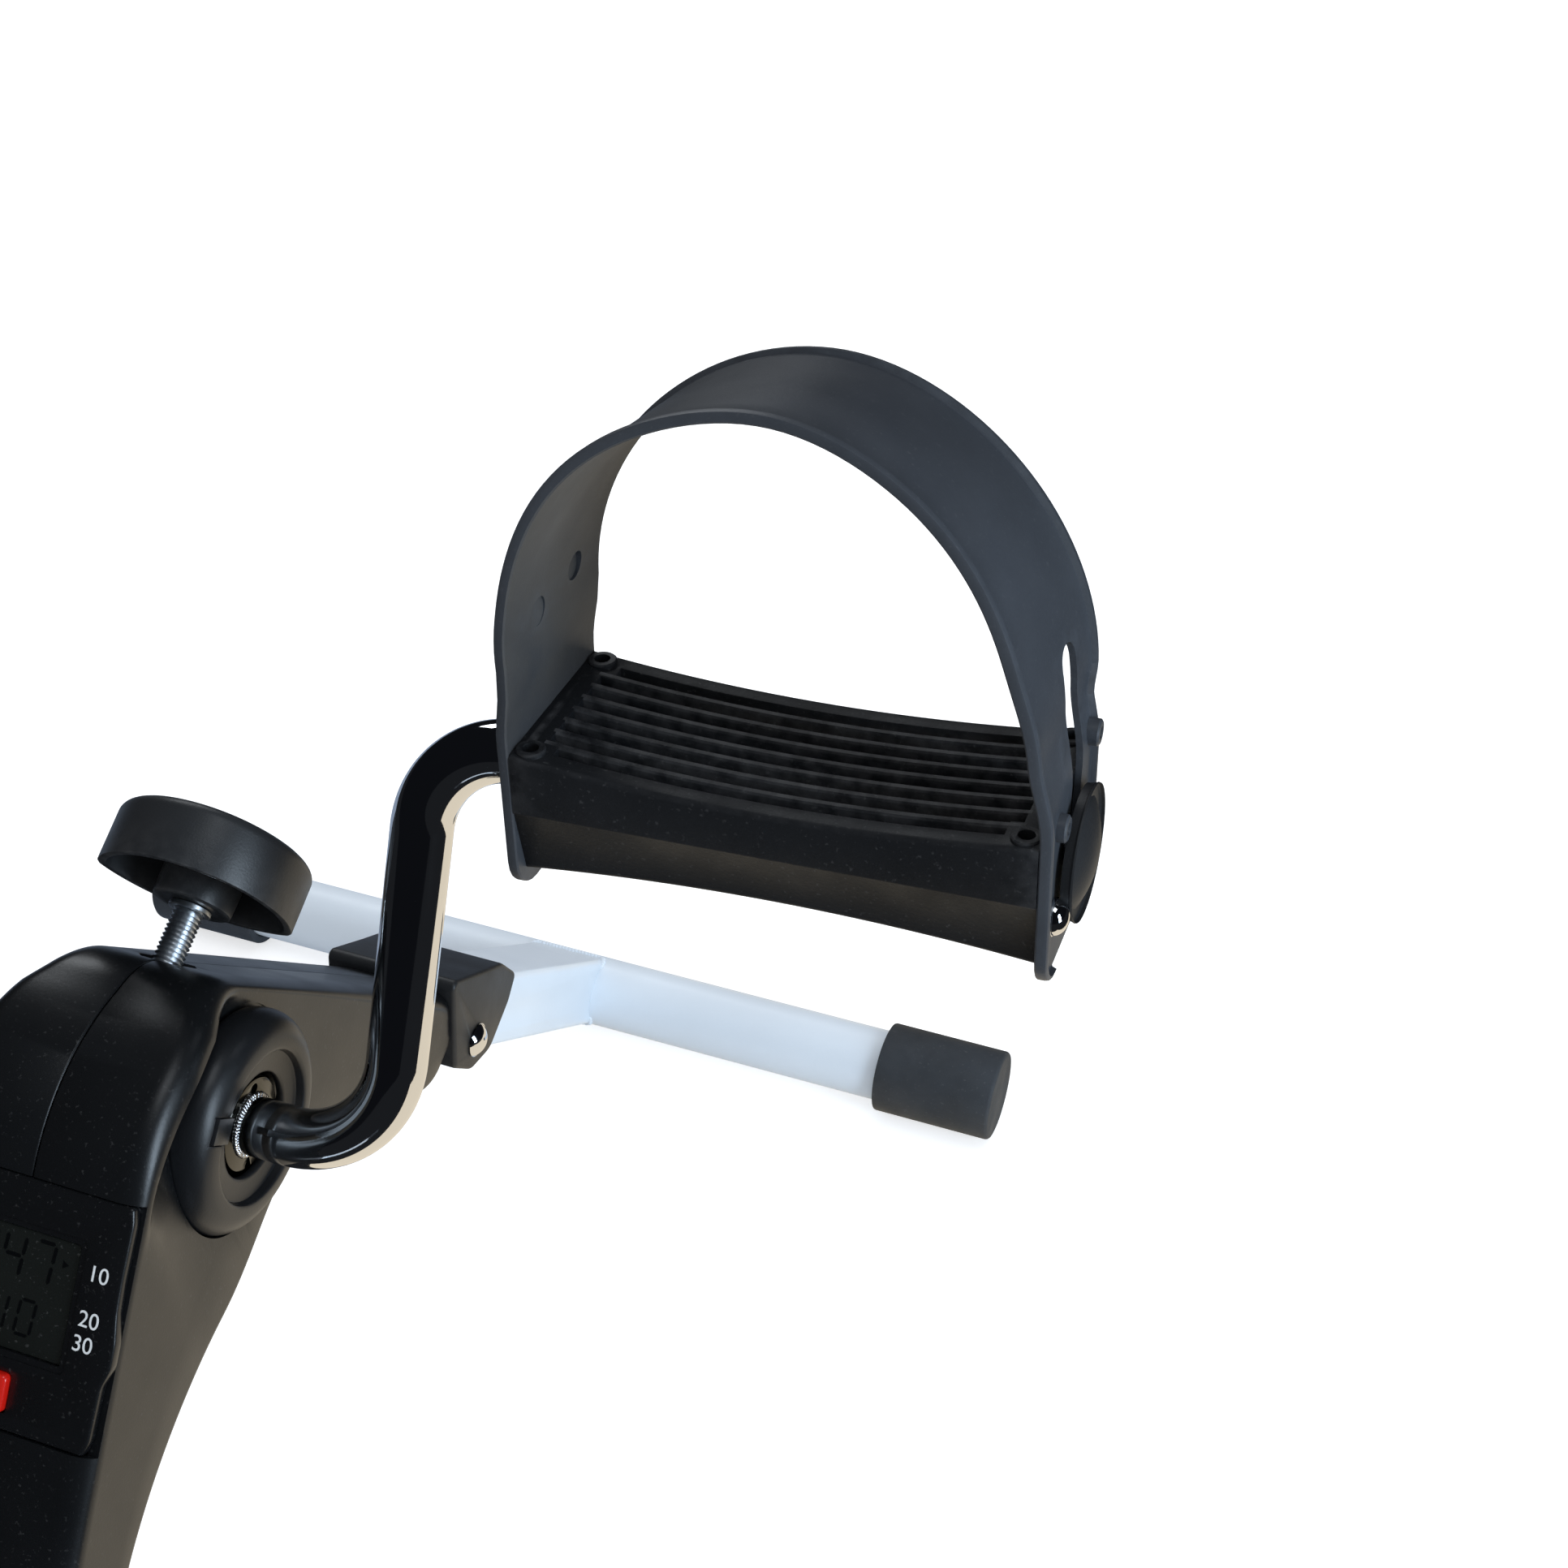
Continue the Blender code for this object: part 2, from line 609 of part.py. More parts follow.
def pedal_skin(top, low):
    half, foot, crease = PEDAL_HALF, PEDAL_FOOT_HALF, 0.5
    right = [(half - 1.2, top), (half, top - 1.2), (half, crease), (foot, low + 1.0), (foot - 1.0, low)]
    return right + [(-y, z) for y, z in reversed(right)]


def pedal_hollow(top, low):
    half, foot = PEDAL_HALF - 2.4, PEDAL_FOOT_HALF - 2.2
    right = [(half, top - 6.0), (half, 0.5), (foot, low - 3.0)]
    return right + [(-y, z) for y, z in reversed(right)]


def pedal_body(side, pivot):
    word = "right" if side > 0 else "left"
    body = loft(pedal_rings(PEDAL_IN, PEDAL_OUT, pedal_skin))
    pedal = make_object("pedal_body_" + word, flipped(body, side), "pedal_plastic", pivot, 30)
    combine(pedal, [flipped(loft(pedal_rings(PEDAL_IN + 3, PEDAL_OUT - 3, pedal_hollow)), side)])
    slots = []
    for i in range(SLOT_COUNT):
        y = (i - (SLOT_COUNT - 1) / 2) * SLOT_PITCH
        low = (PEDAL_IN + SLOT_INSET, y - SLOT_WIDTH / 2, 4)
        high = (PEDAL_OUT - SLOT_INSET, y + SLOT_WIDTH / 2, 22)
        slots.append(box(low, high))
    combine(pedal, [flipped(slot, side) for slot in slots])
    barrels = [rod_x(13.0, start, start + 21) for start in (PEDAL_IN + 1, PEDAL_OUT - 22)]
    posts = []
    sockets = []
    for x in (PEDAL_IN + 3.6, PEDAL_OUT - 3.6):
        for y in (-20.8, 20.8):
            post = upright(turned([(4, 3.4), (16.2, 3.4)], 8))
            socket = upright(turned([(12.5, 1.9), (20, 1.9)], 8))
            shift = Matrix.Translation((x, y, 0))
            posts.append(moved(post, shift))
            sockets.append(moved(socket, shift))
    combine(pedal, [flipped(shape, side) for shape in barrels + posts], "UNION")
    y, z = RIVET_SPOT
    bores = [rod_x(8.1, PEDAL_IN - 5, PEDAL_OUT + 5, 0, 0, 16)]
    bores.append(rod_x(1.9, PEDAL_IN - 5, PEDAL_IN + 6, y, z, 6))
    bores.append(rod_x(1.9, PEDAL_OUT - 6, PEDAL_OUT + 5, y, z, 6))
    combine(pedal, [flipped(shape, side) for shape in bores + sockets])


def strap_stations():
    # The strap's inner face: up the inner leg, over the arch and down the outer leg.
    middle = (PEDAL_IN + PEDAL_OUT) / 2
    foot = [STRAP_FOOT + d for d in (0.0, 1.2, 4.0, 9.0)] + [18.0]
    stations = [(middle - STRAP_R, z, -1.0, 0.0) for z in foot]
    steps = 15
    for k in range(steps + 1):
        a = pi * k / steps
        # The arch is a little more pointed than a half circle, most of all on its outer side.
        lean = 0.2 if a < pi / 2 else 0.9
        reach = STRAP_R - STRAP_TUCK * (abs(cos(a)) + lean * sin(2 * min(a, pi - a)))
        stations.append((middle - reach * cos(a), STRAP_SPRING + reach * sin(a), -cos(a), sin(a)))
    for z in [32.5, 29.0] + foot[::-1]:
        stations.append((middle + STRAP_R - STRAP_TUCK * rise(z, 18, STRAP_SPRING), z, 1.0, 0.0))
    return stations


def strap(side, pivot):
    word = "right" if side > 0 else "left"
    corner = 9.0
    rings = []
    for x, z, out_x, out_z in strap_stations():
        rising = z - STRAP_FOOT
        nip = corner - sqrt(corner ** 2 - max(0.0, corner - rising) ** 2)
        near = PEDAL_HALF - nip
        far = near
        if out_x > 0.99 and z < 33:
            far = min(near, PEDAL_HALF - 6.0 * rise(33 - z, 0, 4))
        flare = STRAP_FLARE * rise(z, 14, 60) * (0.6 + 0.4 * rise(out_x, -0.6, 0.3) + rise(out_z, 0.3, 1.0))
        ring = []
        profile = ((-near, 0.0), (-near, 2.9), (2.6 - near, 2.9), (3.2 - near, STRAP_THICK))
        profile += ((far - 3.2, STRAP_THICK), (far - 2.6, 2.9), (far, 2.9), (far, 0.0))
        for y, height in profile:
            push = height + flare * (0.5 - y / (2 * PEDAL_HALF))
            ring.append((x + out_x * push, y, z + out_z * push))
        rings.append(ring)
    band = make_object("strap_" + word, flipped(loft(rings), side), "strap_plastic", pivot, 30)
    inner, outer = PEDAL_IN - 8, PEDAL_OUT + 8
    middle = (PEDAL_IN + PEDAL_OUT) / 2
    y, z = RIVET_SPOT
    holes = [rod_x(8.4, inner, middle - 50, 0, 0, 16), rod_x(1.9, inner, middle - 50, y, z, 6)]
    holes.append(rod_x(3.5, inner - 4, middle - 50, -8.0, 44.0, 12))
    holes.append(rod_x(3.5, inner - 4, middle - 50, 11.0, 46.0, 12))
    holes.append(rod_x(1.9, middle + 50, outer, y, z, 6))
    slot = rounded([(-4.6, -4.6, 4.5), (4.6, -4.6, 4.5), (4.6, 45.0, 4.5), (-4.6, 45.0, 4.5)], 30)
    holes.append(prism(slot, middle + 50, outer + 4))
    combine(band, [flipped(shape, side) for shape in holes])


def rivets(side, pivot):
    word = "right" if side > 0 else "left"
    y, z = RIVET_SPOT
    for place, face, out in (("inner", PEDAL_IN - 2.8, -1), ("outer", PEDAL_OUT + 2.8, 1)):
        profile = [(-6.2, 1.3), (0, 1.3), (0, 4.3), (0.8, 3.7), (1.5, 1.2)]
        shape = turned([(face + out * x, r) for x, r in profile], 10)
        rivet = make_object("rivet_%s_%s" % (place, word), flipped(shape, side), "chrome", pivot)
        rivet.location = Vector((0, y, z)) * MM


# Brake and knob, made in the frame of the screw: Z runs up the screw, X along the hub axis

def brake_face(height):
    # The shoe's slanting face, half a millimetre off the drum when the shoe is right down.
    hub = Matrix.Rotation(SCREW_TILT, 4, "X") @ (Vector((0, 0, HUB_Z)) - Vector(SCREW_SPOT))
    above = height - hub.z - BRAKE_TRAVEL
    return hub.y + (above * cos(BRAKE_SLANT) - DRUM_R - 0.5) / sin(BRAKE_SLANT), height


def brake_shoe(pivot):
    # The screw pushes the shoe's arm, and the face of the pad beside the arm rubs on the drum.
    low, arm_top, pad_top = -17.0, -11.3, -5.0
    back, step = -6.0, 8.8
    side = [(back, low), (back, arm_top), (step, arm_top), (step, pad_top)]
    side += [brake_face(pad_top), brake_face(low)]
    shoe = make_object("brake_shoe", prism(side, -8, 8), "felt", pivot)
    combine(shoe, [upright(turned([(SCREW_TIP - GAP, 3.1), (back, 3.1)], 16))])


def knob_outline(inset):
    # Half-moon plan: a deep arc on the near side and a shallow one on the far side.
    half, deep, shallow = KNOB_HALF - inset, KNOB_DEEP - inset, KNOB_SHALLOW - inset
    points = []
    for k in range(1, 16):
        a = pi * k / 16
        points.append((half * cos(a), -deep * sin(a)))
    radius = (half ** 2 + shallow ** 2) / (2 * shallow)
    reach = atan2(half, radius - shallow)
    for k in range(9):
        a = reach * (0.94 - 0.235 * k)
        points.append((-radius * sin(a), radius * cos(a) - (radius - shallow)))
    turn = Matrix.Rotation(KNOB_TURN, 2)
    return [tuple(turn @ Vector(point)) for point in points]


def tension_knob(pivot):
    outside = [(0.0, KNOB_MOUTH), (0.0, KNOB_ROOF - 3.0), (0.8, KNOB_ROOF - 1.0), (3.0, KNOB_ROOF)]
    rings = [[(x, y, height) for x, y in knob_outline(inset)] for inset, height in outside]
    knob = make_object("tension_knob", loft(rings), "housing_plastic", pivot, 40)
    heights = (KNOB_MOUTH - 2, KNOB_ROOF - 2.6)
    hollow = [[(x, y, height) for x, y in knob_outline(2.2)] for height in heights]
    combine(knob, [loft(hollow)])
    combine(knob, [upright(turned([(KNOB_MOUTH - 2.1, 10.5), (KNOB_ROOF - 1.0, 10.5)], 16))], "UNION")
    combine(knob, [upright(turned([(10.0, SCREW_R + GAP), (KNOB_ROOF - 4.0, SCREW_R + GAP)], 16))])


def tension_screw(pivot):
    tip, head = SCREW_TIP, KNOB_ROOF - 4.3
    profile = [(tip, 2.4), (tip + 0.4, 2.8), (tip + 3.3, 2.8), (tip + 4.2, SCREW_R)]
    profile += [(head - 0.5, SCREW_R), (head, 3.4)]
    make_object("tension_screw", upright(turned(profile, 16)), "zinc", pivot)


# Stands and saddles; end is +1 at the rear and -1 at the front

def stem_point(along, above):
    # Along the stem towards the saddle, and out from it, measured from the pivot.
    y = -along * cos(STEM_SLOPE) + above * sin(STEM_SLOPE)
    z = along * sin(STEM_SLOPE) + above * cos(STEM_SLOPE)
    return y, z


def mirrored(shape, end):
    return [(x, end * y, z) for x, y, z in shape[0]], shape[1]


def stem_ring(along, half, low, high, radius):
    corners = [(half, low, radius), (half, high, radius), (-half, high, radius), (-half, low, radius)]
    ring = []
    for x, above in rounded(corners, 45):
        y, z = stem_point(along, above)
        ring.append((x, y, z))
    return ring


def stand(end, pivot):
    word = "rear" if end > 0 else "front"
    tube_at = Vector((TUBE_Y - PIVOT_Y, TUBE_Z - PIVOT_Z))
    reach = tube_at.x * cos(STEM_SLOPE) - tube_at.y * sin(STEM_SLOPE)
    offset = tube_at.x * sin(STEM_SLOPE) + tube_at.y * cos(STEM_SLOPE)
    low, high = offset - STEM_THICK / 2, offset + STEM_THICK / 2
    tops = [(-reach + 4.0, high), (0.0, high)]
    tops += [(along, sqrt(high ** 2 - along ** 2)) for along in (3.5, 7.0)]
    rings = [stem_ring(along, STEM_HALF, low, top, 2.5) for along, top in tops]
    stem = make_object(word + "_stem", mirrored(loft(rings), end), "white_paint", pivot, 30)
    bore = loft([stem_ring(along, STEM_HALF - 1.8, low + 1.8, high - 2.4, 1.2) for along in (-reach - 6, 12)])
    bolt_hole = rod_x(BOLT_R + GAP, -30, 30, 0, 0, 16)
    saddle_cut = rod_x(TUBE_R + 0.4, -30, 30, tube_at.x, tube_at.y, 32)
    combine(stem, [mirrored(bore, end)])
    combine(stem, [bolt_hole, mirrored(saddle_cut, end)])
    half = CAP_OUT - 4.4
    ring = [(-half, TUBE_R), (half, TUBE_R), (half, TUBE_R - 1.5), (-half, TUBE_R - 1.5)]
    tube = make_object(word + "_tube", turned(ring, 20, True), "white_paint", pivot)
    tube.location = Vector((0, end * tube_at.x, tube_at.y)) * MM
    sides = 16
    grow = 1 / cos(pi / sides)
    for side, hand in ((1, "right"), (-1, "left")):
        lining = TUBE_R + 0.5
        shape = [(CAP_OUT, CAP_R - 1.8), (CAP_OUT - 1.6, CAP_R), (CAP_IN + 1.0, CAP_R)]
        shape += [(CAP_IN, CAP_R - 0.8), (CAP_IN, lining), (CAP_OUT - 4.0, lining)]
        cap = turned([(x, r * grow) for x, r in shape], sides, False, 0.5)
        foot = make_object("%s_cap_%s" % (word, hand), flipped(cap, side), "cap_rubber", pivot, 20)
        foot.location = tube.location


def saddle(end):
    word = "rear" if end > 0 else "front"
    place = (0, end * PIVOT_Y, PIVOT_Z)
    corners = [(-9, 34, 2.5), (11, 20.6, 14), (22.5, 13.2, 8), (30.5, 1.5, 2.5), (23.5, -5, 6), (8, -12.3, 8)]
    corners += [(-5, -9.0, 6), (-14.5, 1, 3)]
    body = prism(rounded(corners, 20), -CHEEK_OUT, CHEEK_OUT)
    block = make_object(word + "_saddle", mirrored(body, end), "housing_plastic", None, 30)
    block.location = Vector(place) * MM
    soften(block, 1.3, 1)
    room = [(-30, -30), (-30, 0.5), (-10.4, 2.0), (-8.3, 6.5), (-4.5, 10.0), (-0.5, 12.2), (4.3, 17.4)]
    roof = hypot(4.3, 17.4)
    for a in (68, 59, 50.4):
        room.append((roof * cos(radians(a)), roof * sin(radians(a))))
    far = stem_point(-60.0, roof)
    room += [far, (far[0], -40)]
    plug = [(y - PIVOT_Y, z - PIVOT_Z) for y, z in spine_plug(0.4)]
    cuts = [prism(room, -CHEEK_IN, CHEEK_IN), prism(plug, -14.9, 14.9)]
    cuts.append(rod_x(BOLT_R + GAP, -40, 40, 0, 0, 16))
    for cut in cuts:
        helper = combine(block, [mirrored(cut, end)])
        helper.location = block.location


def pivot_bolt(end):
    word = "rear" if end > 0 else "front"
    face = CHEEK_OUT + GAP
    bolt_line = [(-face - 5.6, 2.5), (-face - 5.2, BOLT_R), (face, BOLT_R)]
    bolt_line += [(face, 5.6), (face + 1.2, 5.2), (face + 2.4, 3.4), (face + 2.9, 1.0)]
    bolt = make_object(word + "_pivot_bolt", turned(bolt_line, 12), "chrome")
    nut = make_object(word + "_pivot_nut", turned([(-face - 4.6, 5.7), (-face, 5.7)], 6), "zinc")
    bore = combine(nut, [rod_x(BOLT_R + GAP, -40, 0)])
    bolt.location = nut.location = bore.location = Vector((0, end * PIVOT_Y, PIVOT_Z)) * MM


def build():
    clear_scene()
    for side in (1, -1):
        housing_half(side)
        bearing(side)
        hub_cover(side)
    spine_frame()
    for number, angle in enumerate(BOSS_ANGLES, 1):
        housing_screw(number, angle)
    reed_sensor()
    console_frame = make_pivot("console_frame", (0, *leg_point(0)), Matrix.Rotation(LEG_TILT, 3, "X"))
    console(console_frame)
    reset_button(console_frame)

    crank_pivot = make_pivot("crank_pivot", (0, 0, HUB_Z), Matrix.Rotation(-CRANK_LEAN, 3, "X"))
    axle_and_drum(crank_pivot)
    arm = Vector((0, sin(CRANK_LEAN), cos(CRANK_LEAN)))
    along = (Vector((1, 0, 0)) + arm * tan(SPINDLE_CANT)).normalized()
    level = Vector((0, cos(PEDAL_PITCH), sin(PEDAL_PITCH)))
    level = (level - along * level.dot(along)).normalized()
    pose = Matrix((along, level, along.cross(level))).transposed()
    for side in (1, -1):
        crank(side, crank_pivot)
        spot = Vector((side * CRANK_PLANE, 0, HUB_Z)) + arm * CRANK_THROW * side
        pedal_pivot = make_pivot("pedal_pivot_right" if side > 0 else "pedal_pivot_left", spot, pose)
        pedal_body(side, pedal_pivot)
        strap(side, pedal_pivot)
        rivets(side, pedal_pivot)

    screw_turn = Matrix.Rotation(-SCREW_TILT, 3, "X")
    screw_frame = make_pivot("screw_frame", SCREW_SPOT, screw_turn)
    tension_nut(screw_frame)
    brake_pivot = make_pivot("brake_pivot", SCREW_SPOT, screw_turn)
    brake_shoe(brake_pivot)
    knob_pivot = make_pivot("knob_pivot", (0, 0, 0), None, brake_pivot)
    tension_knob(knob_pivot)
    tension_screw(knob_pivot)

    for end in (1, -1):
        saddle(end)
        pivot_bolt(end)
        word = "rear" if end > 0 else "front"
        stand(end, make_pivot(word + "_fold_pivot", (0, end * PIVOT_Y, PIVOT_Z)))


build()
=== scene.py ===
from math import acos, atan2, cos, degrees, hypot, pi, radians, sin, sqrt, tan

import bmesh
import bpy
from mathutils import Matrix, Vector


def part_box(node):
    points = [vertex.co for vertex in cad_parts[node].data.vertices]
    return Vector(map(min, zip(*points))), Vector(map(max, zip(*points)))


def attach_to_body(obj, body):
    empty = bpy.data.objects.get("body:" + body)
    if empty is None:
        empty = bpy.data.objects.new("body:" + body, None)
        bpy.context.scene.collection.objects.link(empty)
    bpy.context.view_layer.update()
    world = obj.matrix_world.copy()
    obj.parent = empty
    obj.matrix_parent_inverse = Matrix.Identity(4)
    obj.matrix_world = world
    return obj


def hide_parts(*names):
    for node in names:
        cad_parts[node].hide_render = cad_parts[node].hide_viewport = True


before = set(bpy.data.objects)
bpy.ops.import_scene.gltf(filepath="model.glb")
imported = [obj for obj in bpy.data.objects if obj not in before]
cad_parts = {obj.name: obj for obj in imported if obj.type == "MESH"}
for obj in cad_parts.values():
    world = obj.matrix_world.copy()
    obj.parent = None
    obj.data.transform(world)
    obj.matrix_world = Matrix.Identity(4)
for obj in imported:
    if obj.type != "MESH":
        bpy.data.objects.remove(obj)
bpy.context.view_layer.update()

mm = 0.001

bike = {
    "hubHeight": (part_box("crank_axle")[0].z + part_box("crank_axle")[1].z) / 2 / mm,
    "pivotY": 126.0, "pivotZ": 97.0,                  # fold axis of either stand
    "gap": 0.3,                                       # between neighbouring pieces
    "wall": 2.5,                                      # thickness of the housing
    "slimHalf": 20.5, "wideHalf": 30.0,               # half widths of the housing
}


# Placing and mesh helpers

def addObject(name, data):
    thing = bpy.data.objects.new(name, data)
    bpy.context.scene.collection.objects.link(thing)
    return thing


def plainMesh(thing):
    # the mesh that an object shows with its modifiers
    bpy.context.view_layer.update()
    return bpy.data.meshes.new_from_object(thing.evaluated_get(bpy.context.evaluated_depsgraph_get()))


def settle(piece):
    # makes the live modifiers part of the mesh
    mesh = plainMesh(piece)
    piece.modifiers.clear()
    piece.data = mesh


def shade(piece, angle=35.0):
    piece.data.shade_smooth()
    piece.data.set_sharp_from_angle(angle=radians(angle))
    return piece


def makePiece(name, shape, paint, place=None, angle=35.0):
    # a closed shell in its place, with its faces outwards
    verts, faces = shape
    place = place or Matrix.Identity(4)
    mesh = bpy.data.meshes.new(name)
    mesh.from_pydata([(place @ Vector(vert)) * mm for vert in verts], [], faces)
    shell = bmesh.new()
    shell.from_mesh(mesh)
    bmesh.ops.remove_doubles(shell, verts=shell.verts, dist=1e-7)
    bmesh.ops.recalc_face_normals(shell, faces=shell.faces)
    shell.to_mesh(mesh)
    shell.free()
    piece = addObject(name, mesh)
    mesh.materials.append(paint)
    return shade(piece, angle)


def carve(piece, shapes, place=None, side=1, operation="DIFFERENCE"):
    # cuts shapes out of the piece at once, on its own side
    shapes = [flipped(shape, side) for shape in shapes]
    cutter = makePiece(piece.name + "Cutter", merge(shapes), piece.data.materials[0], place)
    step = piece.modifiers.new("Carve", "BOOLEAN")
    step.operation = operation
    step.solver = "EXACT"
    step.object = cutter
    settle(piece)
    bpy.data.objects.remove(cutter)


def join(piece, shapes, place=None, side=1):
    carve(piece, shapes, place, side, "UNION")


def breakEdges(piece, width, angle, smooth, segments=2):
    # a small round on every edge sharper than the angle, then smooth shading up to another angle
    step = piece.modifiers.new("Edges", "BEVEL")
    step.width = width * mm
    step.segments = segments
    step.limit_method = "ANGLE"
    step.angle_limit = radians(angle)
    step.harden_normals = False
    settle(piece)
    shade(piece, smooth)


def attach(piece, body, slot, *nodes):
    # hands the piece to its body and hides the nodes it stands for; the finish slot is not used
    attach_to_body(piece, body)
    if nodes:
        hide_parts(*nodes)


def handWord(side):
    return "Right" if side > 0 else "Left"


def endWord(end):
    return "rear" if end > 0 else "front"


def merge(shapes):
    verts, faces = [], []
    for someVerts, someFaces in shapes:
        start = len(verts)
        verts.extend(someVerts)
        faces.extend([tuple(start + index for index in face) for face in someFaces])
    return verts, faces


def moved(shape, matrix):
    return [tuple(matrix @ Vector(vert)) for vert in shape[0]], shape[1]


def flipped(shape, side):
    return [(side * x, y, z) for x, y, z in shape[0]], shape[1]


def mirrored(shape, end):
    return [(x, end * y, z) for x, y, z in shape[0]], shape[1]


def upright(shape):
    # a shape made about X now stands about Z
    return [(-z, y, x) for x, y, z in shape[0]], shape[1]


def loft(rings, closed=False):
    # skin over rings of points, with flat ends or joined end to end
    count = len(rings[0])
    verts = [point for ring in rings for point in ring]
    faces = []
    for row in range(len(rings) if closed else len(rings) - 1):
        a, b = row * count, (row + 1) % len(rings) * count
        for i in range(count):
            j = (i + 1) % count
            faces.append((a + i, a + j, b + j, b + i))
    if not closed:
        faces.append(tuple(range(count)))
        faces.append(tuple(range((len(rings) - 1) * count, len(rings) * count)))
    return verts, faces


def circle(radius, sides):
    return [onCircle((0.0, 0.0), radius, 2 * pi * i / sides) for i in range(sides)]


def turned(profile, sides=64, closed=False):
    # profile of (x, radius) turned about X
    return loft([[(x, y, z) for y, z in circle(radius, sides)] for x, radius in profile], closed)


def flatRing(outline, height):
    return [(x, y, height) for x, y in outline]


def slab(outline, low, high):
    # an outline (x, y) made solid from one height to another
    return loft([flatRing(outline, height) for height in (low, high)])


def prism(outline, start, end):
    # an outline (y, z) made solid along X
    return loft([[(x, y, z) for y, z in outline] for x in (start, end)])


def box(low, high):
    outline = [(low[1], low[2]), (high[1], low[2]), (high[1], high[2]), (low[1], high[2])]
    return prism(outline, low[0], high[0])


def rod(radius, start, end, y=0.0, z=0.0, sides=40):
    verts, faces = turned([(start, radius), (end, radius)], sides)
    return [(x, py + y, pz + z) for x, py, pz in verts], faces


def rounded(corners, step=6.0, closed=True):
    # outline through corners (a, b, radius), whose round ones become arcs
    points = []
    count = len(corners)
    for i, (a, b, radius) in enumerate(corners):
        if radius == 0 or (not closed and i in (0, count - 1)):
            points.append((a, b))
            continue
        spot = Vector((a, b))
        back = (Vector(corners[i - 1][:2]) - spot).normalized()
        ahead = (Vector(corners[(i + 1) % count][:2]) - spot).normalized()
        half = acos(max(-1.0, min(1.0, back.dot(ahead)))) / 2
        centre = spot + (back + ahead).normalized() * (radius / sin(half))
        first = spot + back * (radius / tan(half)) - centre
        turn = pi - 2 * half
        sense = 1.0 if back.x * ahead.y - back.y * ahead.x < 0 else -1.0
        steps = max(1, round(degrees(turn) / step))
        for k in range(steps + 1):
            angle = sense * turn * k / steps
            x = centre.x + first.x * cos(angle) - first.y * sin(angle)
            y = centre.y + first.x * sin(angle) + first.y * cos(angle)
            points.append((x, y))
    return points


def onCircle(centre, radius, angle):
    # a point (a, b) of a circle, where angle 0 points along b
    return centre[0] + radius * sin(angle), centre[1] + radius * cos(angle)


def arcPoints(centre, radius, start, end, steps):
    return [onCircle(centre, radius, radians(start + (end - start) * k / steps)) for k in range(steps + 1)]


def domePoints(centre, radius, start, end, steps):
    # an arc whose end comes down to the axis
    return [(x, max(0.02, r)) for x, r in arcPoints(centre, radius, start, end, steps)]


def rise(value, low, high):
    share = max(0.0, min(1.0, (value - low) / (high - low)))
    return share * share * (3 - 2 * share)


# Node trees

def wire(tree, kind, props=None, **inputs):
    # adds a node; an input is a value or another node's output, and _ in its name stands for a space
    node = tree.nodes.new(kind)
    for word, value in (props or {}).items():
        setattr(node, word, value)
    for word, value in inputs.items():
        key = int(word[1:]) if word[0] == "n" and word[1:].isdigit() else word.replace("_", " ")
        socket = node.inputs[key]
        if isinstance(value, bpy.types.NodeSocket):
            tree.links.new(value, socket)
        else:
            socket.default_value = value
    return node


def maths(tree, operation, first, second):
    return wire(tree, "ShaderNodeMath", {"operation": operation}, n0=first, n1=second).outputs[0]


def combineXyz(tree, x=0.0, y=0.0, z=0.0):
    return wire(tree, "ShaderNodeCombineXYZ", X=x, Y=y, Z=z).outputs[0]


def clouds(tree, spot, scale, detail, low, high, rough=0.5, **span):
    # noise whose values from low to high are stretched to 0 to 1, or to another span
    noise = wire(tree, "ShaderNodeTexNoise", Vector=spot, Scale=scale, Detail=detail, Roughness=rough)
    return wire(tree, "ShaderNodeMapRange", Value=noise.outputs["Fac"], From_Min=low, From_Max=high,
                **span).outputs[0]


def mixTones(tree, share, first, tone):
    mix = wire(tree, "ShaderNodeMix", {"data_type": "RGBA"}, Factor=share, n6=first, n7=(*tone, 1))
    return mix.outputs[2]


def newPaint(name):
    paint = bpy.data.materials.new(name)
    paint.use_nodes = True
    return paint, paint.node_tree, paint.node_tree.nodes["Principled BSDF"]


def bareFinish(name):
    # a material whose usual shader is taken out
    paint, tree, shader = newPaint(name)
    tree.nodes.remove(shader)
    return paint, tree


def endShader(tree, shader, output="Material Output"):
    tree.links.new(shader.outputs[0], tree.nodes[output].inputs[0])


plainLook = {                                          # what a finish has where its own line says nothing
    "drift": 0.2, "driftScale": 22.0,                  # how far the colour wanders, and how finely
    "roughSpread": 0.06, "smearScale": 70.0,           # the same for the roughness
    "grain": (900.0, 0.05),                            # scale and strength of the fine texture
    "speckScale": 900.0, "patchScale": 45.0,           # specks of dust, and the patches they lie in
    "filmScale": 38.0, "filmRoughness": 0.75, "rubScale": 260.0,
    "metallic": 0.0, "specular": 0.5, "coat": 0.0, "coatRoughness": 0.1,
}


